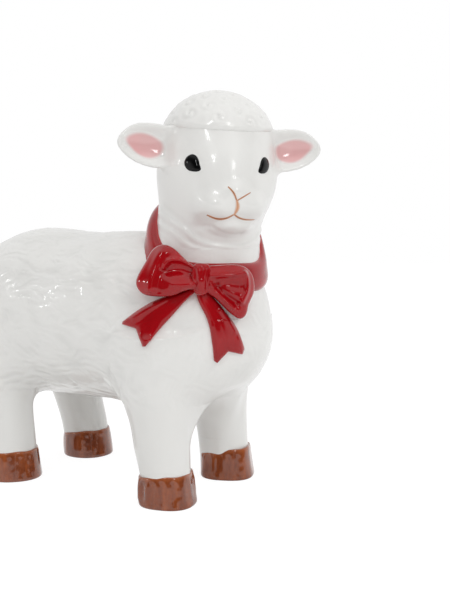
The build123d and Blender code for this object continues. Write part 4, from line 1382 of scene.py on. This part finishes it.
def bright_sides(tree, direction):
    """Two masks: behind the lamb; far to the picture's left with a narrow strip on its right."""
    split = tree.nodes.new("ShaderNodeSeparateXYZ")
    tree.links.new(direction, split.inputs[0])
    x, y = split.outputs["X"], split.outputs["Y"]
    ahead = math_node(tree, "ADD", math_node(tree, "MULTIPLY", x, math.sin(VIEW_TURN)),
                      math_node(tree, "MULTIPLY", y, -math.cos(VIEW_TURN)))
    right = math_node(tree, "ADD", math_node(tree, "MULTIPLY", x, math.cos(VIEW_TURN)),
                      math_node(tree, "MULTIPLY", y, math.sin(VIEW_TURN)))
    behind = ramp(tree, ahead, 0.1, -0.3)
    left = ramp(tree, right, -0.72, -0.88)
    strip = math_node(tree, "MULTIPLY", ramp(tree, right, 0.30, 0.34), ramp(tree, right, 0.46, 0.42))
    return behind, math_node(tree, "MAXIMUM", left, math_node(tree, "MULTIPLY", strip, 0.6))


print("bright sides are told from the camera's heading,", round(math.degrees(VIEW_TURN), 1))

# %% [markdown]
# The floor is a large sheet of white paper. To the camera it is mostly plain white, with a share of
# its own shading that keeps the lamb's faint shadow. Mirrored in the glaze it is white only towards
# the bright sides. Its white in both cases comes from light of its own, mixed in by kind of ray.

# %% Floor
floor_mesh = bpy.data.meshes.new("floor")
floor_mesh.from_pydata([(-9, -9, 0), (9, -9, 0), (9, 9, 0), (-9, 9, 0)], [], [(0, 1, 2, 3)])
floor = bpy.data.objects.new("floor", floor_mesh)
bpy.context.scene.collection.objects.link(floor)
floor_material = bpy.data.materials.new("white_floor")
floor_material.use_nodes = True
tree = floor_material.node_tree
paper = tree.nodes["Principled BSDF"]
paper.inputs["Base Color"].default_value = (0.93, 0.93, 0.93, 1)
paper.inputs["Roughness"].default_value = 0.9
paper.inputs["Specular IOR Level"].default_value = 0.0
glow = tree.nodes.new("ShaderNodeEmission")
glow.inputs["Strength"].default_value = 1.12
rays = tree.nodes.new("ShaderNodeLightPath")
seen = math_node(tree, "MAXIMUM", rays.outputs["Is Camera Ray"], rays.outputs["Is Transmission Ray"])
seen = math_node(tree, "MULTIPLY", seen, 0.82)
place = tree.nodes.new("ShaderNodeTexCoord")
flat_place = tree.nodes.new("ShaderNodeVectorMath")
flat_place.operation = "NORMALIZE"
tree.links.new(place.outputs["Object"], flat_place.inputs[0])
lit = math_node(tree, "MAXIMUM", *bright_sides(tree, flat_place.outputs["Vector"]))
strength = math_node(tree, "MULTIPLY_ADD", lit, 0.7)
strength.node.inputs[2].default_value = 0.15
mirrored = math_node(tree, "MULTIPLY", rays.outputs["Is Glossy Ray"], strength)
whiten = math_node(tree, "MAXIMUM", seen, mirrored)
blend = tree.nodes.new("ShaderNodeMixShader")
tree.links.new(whiten, blend.inputs[0])
tree.links.new(paper.outputs[0], blend.inputs[1])
tree.links.new(glow.outputs[0], blend.inputs[2])
tree.links.new(blend.outputs[0], tree.nodes["Material Output"].inputs["Surface"])
floor_mesh.materials.append(floor_material)
print("floor made")

# %% [markdown]
# The room is the world: plain white where the camera sees it, an even soft white for the light it
# casts, and for mirrored rays bright overhead, behind the lamb and low at the sides, dim elsewhere.

# %% Room
world = bpy.data.worlds.new("room")
bpy.context.scene.world = world
world.use_nodes = True
tree = world.node_tree
tree.nodes.clear()
rays = tree.nodes.new("ShaderNodeLightPath")
where = tree.nodes.new("ShaderNodeTexCoord")
split = tree.nodes.new("ShaderNodeSeparateXYZ")
tree.links.new(where.outputs["Generated"], split.inputs[0])
overhead = ramp(tree, split.outputs["Z"], 0.58, 0.82)
low_down = ramp(tree, split.outputs["Z"], 0.5, 0.3)
behind, sides = bright_sides(tree, where.outputs["Generated"])
sides = math_node(tree, "MULTIPLY", sides, low_down)
bright = math_node(tree, "MAXIMUM", math_node(tree, "MAXIMUM", overhead, behind), sides)
mirrored = math_node(tree, "MULTIPLY_ADD", bright, 0.9)
mirrored.node.inputs[2].default_value = 0.04
clear = math_node(tree, "MAXIMUM", rays.outputs["Is Camera Ray"], rays.outputs["Is Transmission Ray"])
soft = tree.nodes.new("ShaderNodeMix")
soft.inputs["A"].default_value = 0.70
tree.links.new(rays.outputs["Is Glossy Ray"], soft.inputs["Factor"])
tree.links.new(mirrored, soft.inputs["B"])
level = tree.nodes.new("ShaderNodeMix")
level.inputs["B"].default_value = 1.0
tree.links.new(clear, level.inputs["Factor"])
tree.links.new(soft.outputs["Result"], level.inputs["A"])
sky = tree.nodes.new("ShaderNodeBackground")
sky.inputs["Color"].default_value = (1, 1, 1, 1)
tree.links.new(level.outputs["Result"], sky.inputs["Strength"])
out = tree.nodes.new("ShaderNodeOutputWorld")
tree.links.new(sky.outputs[0], out.inputs["Surface"])
print("room made")

# %% [markdown]
# The camera was worked out from where the four hooves stand in the photo: it looks at the lamb's
# right side from a little above the ground line, with a normal lens.

# %% Camera
VIEW_BACK = np.array([math.sin(VIEW_TURN) * math.cos(VIEW_RISE),
                      -math.cos(VIEW_TURN) * math.cos(VIEW_RISE), math.sin(VIEW_RISE)])
VIEW_RIGHT = np.array([math.cos(VIEW_TURN), math.sin(VIEW_TURN), 0.0])
VIEW_UP = np.cross(VIEW_BACK, VIEW_RIGHT)
lens = bpy.data.cameras.new("camera")
lens.lens = 48.0
lens.sensor_width = 36.0
camera = bpy.data.objects.new("camera", lens)
bpy.context.scene.collection.objects.link(camera)
pose = np.eye(4)
pose[:3, 0], pose[:3, 1], pose[:3, 2] = VIEW_RIGHT, VIEW_UP, VIEW_BACK
pose[:3, 3] = to_frame([-411.45, -304.06, 143.49])
camera.matrix_world = Matrix(pose.tolist())
bpy.context.scene.camera = camera
print("camera at", np.round(pose[:3, 3], 3))

# %% [markdown]
# Two large soft lamps, high on the right and overhead, shape the white body. The glaze doesn't
# mirror them, or they would show as hard panes on the smooth brow. Three small windows are there for
# the spots of light on eyes, flank, ears and bow.

# %% Lamps
def add_lamp(name, right, up, back, width, height, power):
    """A rectangular lamp placed by the camera's directions, in metres, facing the lamb."""
    light = bpy.data.lights.new(name, "AREA")
    light.shape = "RECTANGLE"
    light.size, light.size_y, light.energy = width, height, power
    lamp = bpy.data.objects.new(name, light)
    bpy.context.scene.collection.objects.link(lamp)
    target = to_frame([0.0, 0, 120])
    place = target + right * VIEW_RIGHT + up * np.array([0, 0, 1.0]) + back * VIEW_BACK
    lamp.location = place
    lamp.rotation_euler = Vector(place - target).to_track_quat("Z", "Y").to_euler()
    return lamp


high_right = add_lamp("high_right", 0.9, 0.9, 0.7, 0.8, 0.6, 3.0)
add_lamp("window_right", 0.62, 0.62, 1.0, 0.2, 0.24, 1.4)
add_lamp("window_left", -0.35, 0.75, 1.0, 0.10, 0.14, 0.9)
add_lamp("side_left", -1.2, 0.5, 0.35, 0.05, 0.08, 0.4)
overhead_lamp = add_lamp("overhead", 0.0, 1.3, 0.1, 0.9, 0.9, 1.2)
high_right.visible_glossy = overhead_lamp.visible_glossy = False
bpy.context.scene.view_settings.view_transform = "Standard"

# %% [markdown]
# Last, the model's box is written beside the imported one, because the dressed lamb may not outgrow
# the solids, and every piece is counted.

# %% Remove the working mesh
bpy.data.meshes.remove(work)
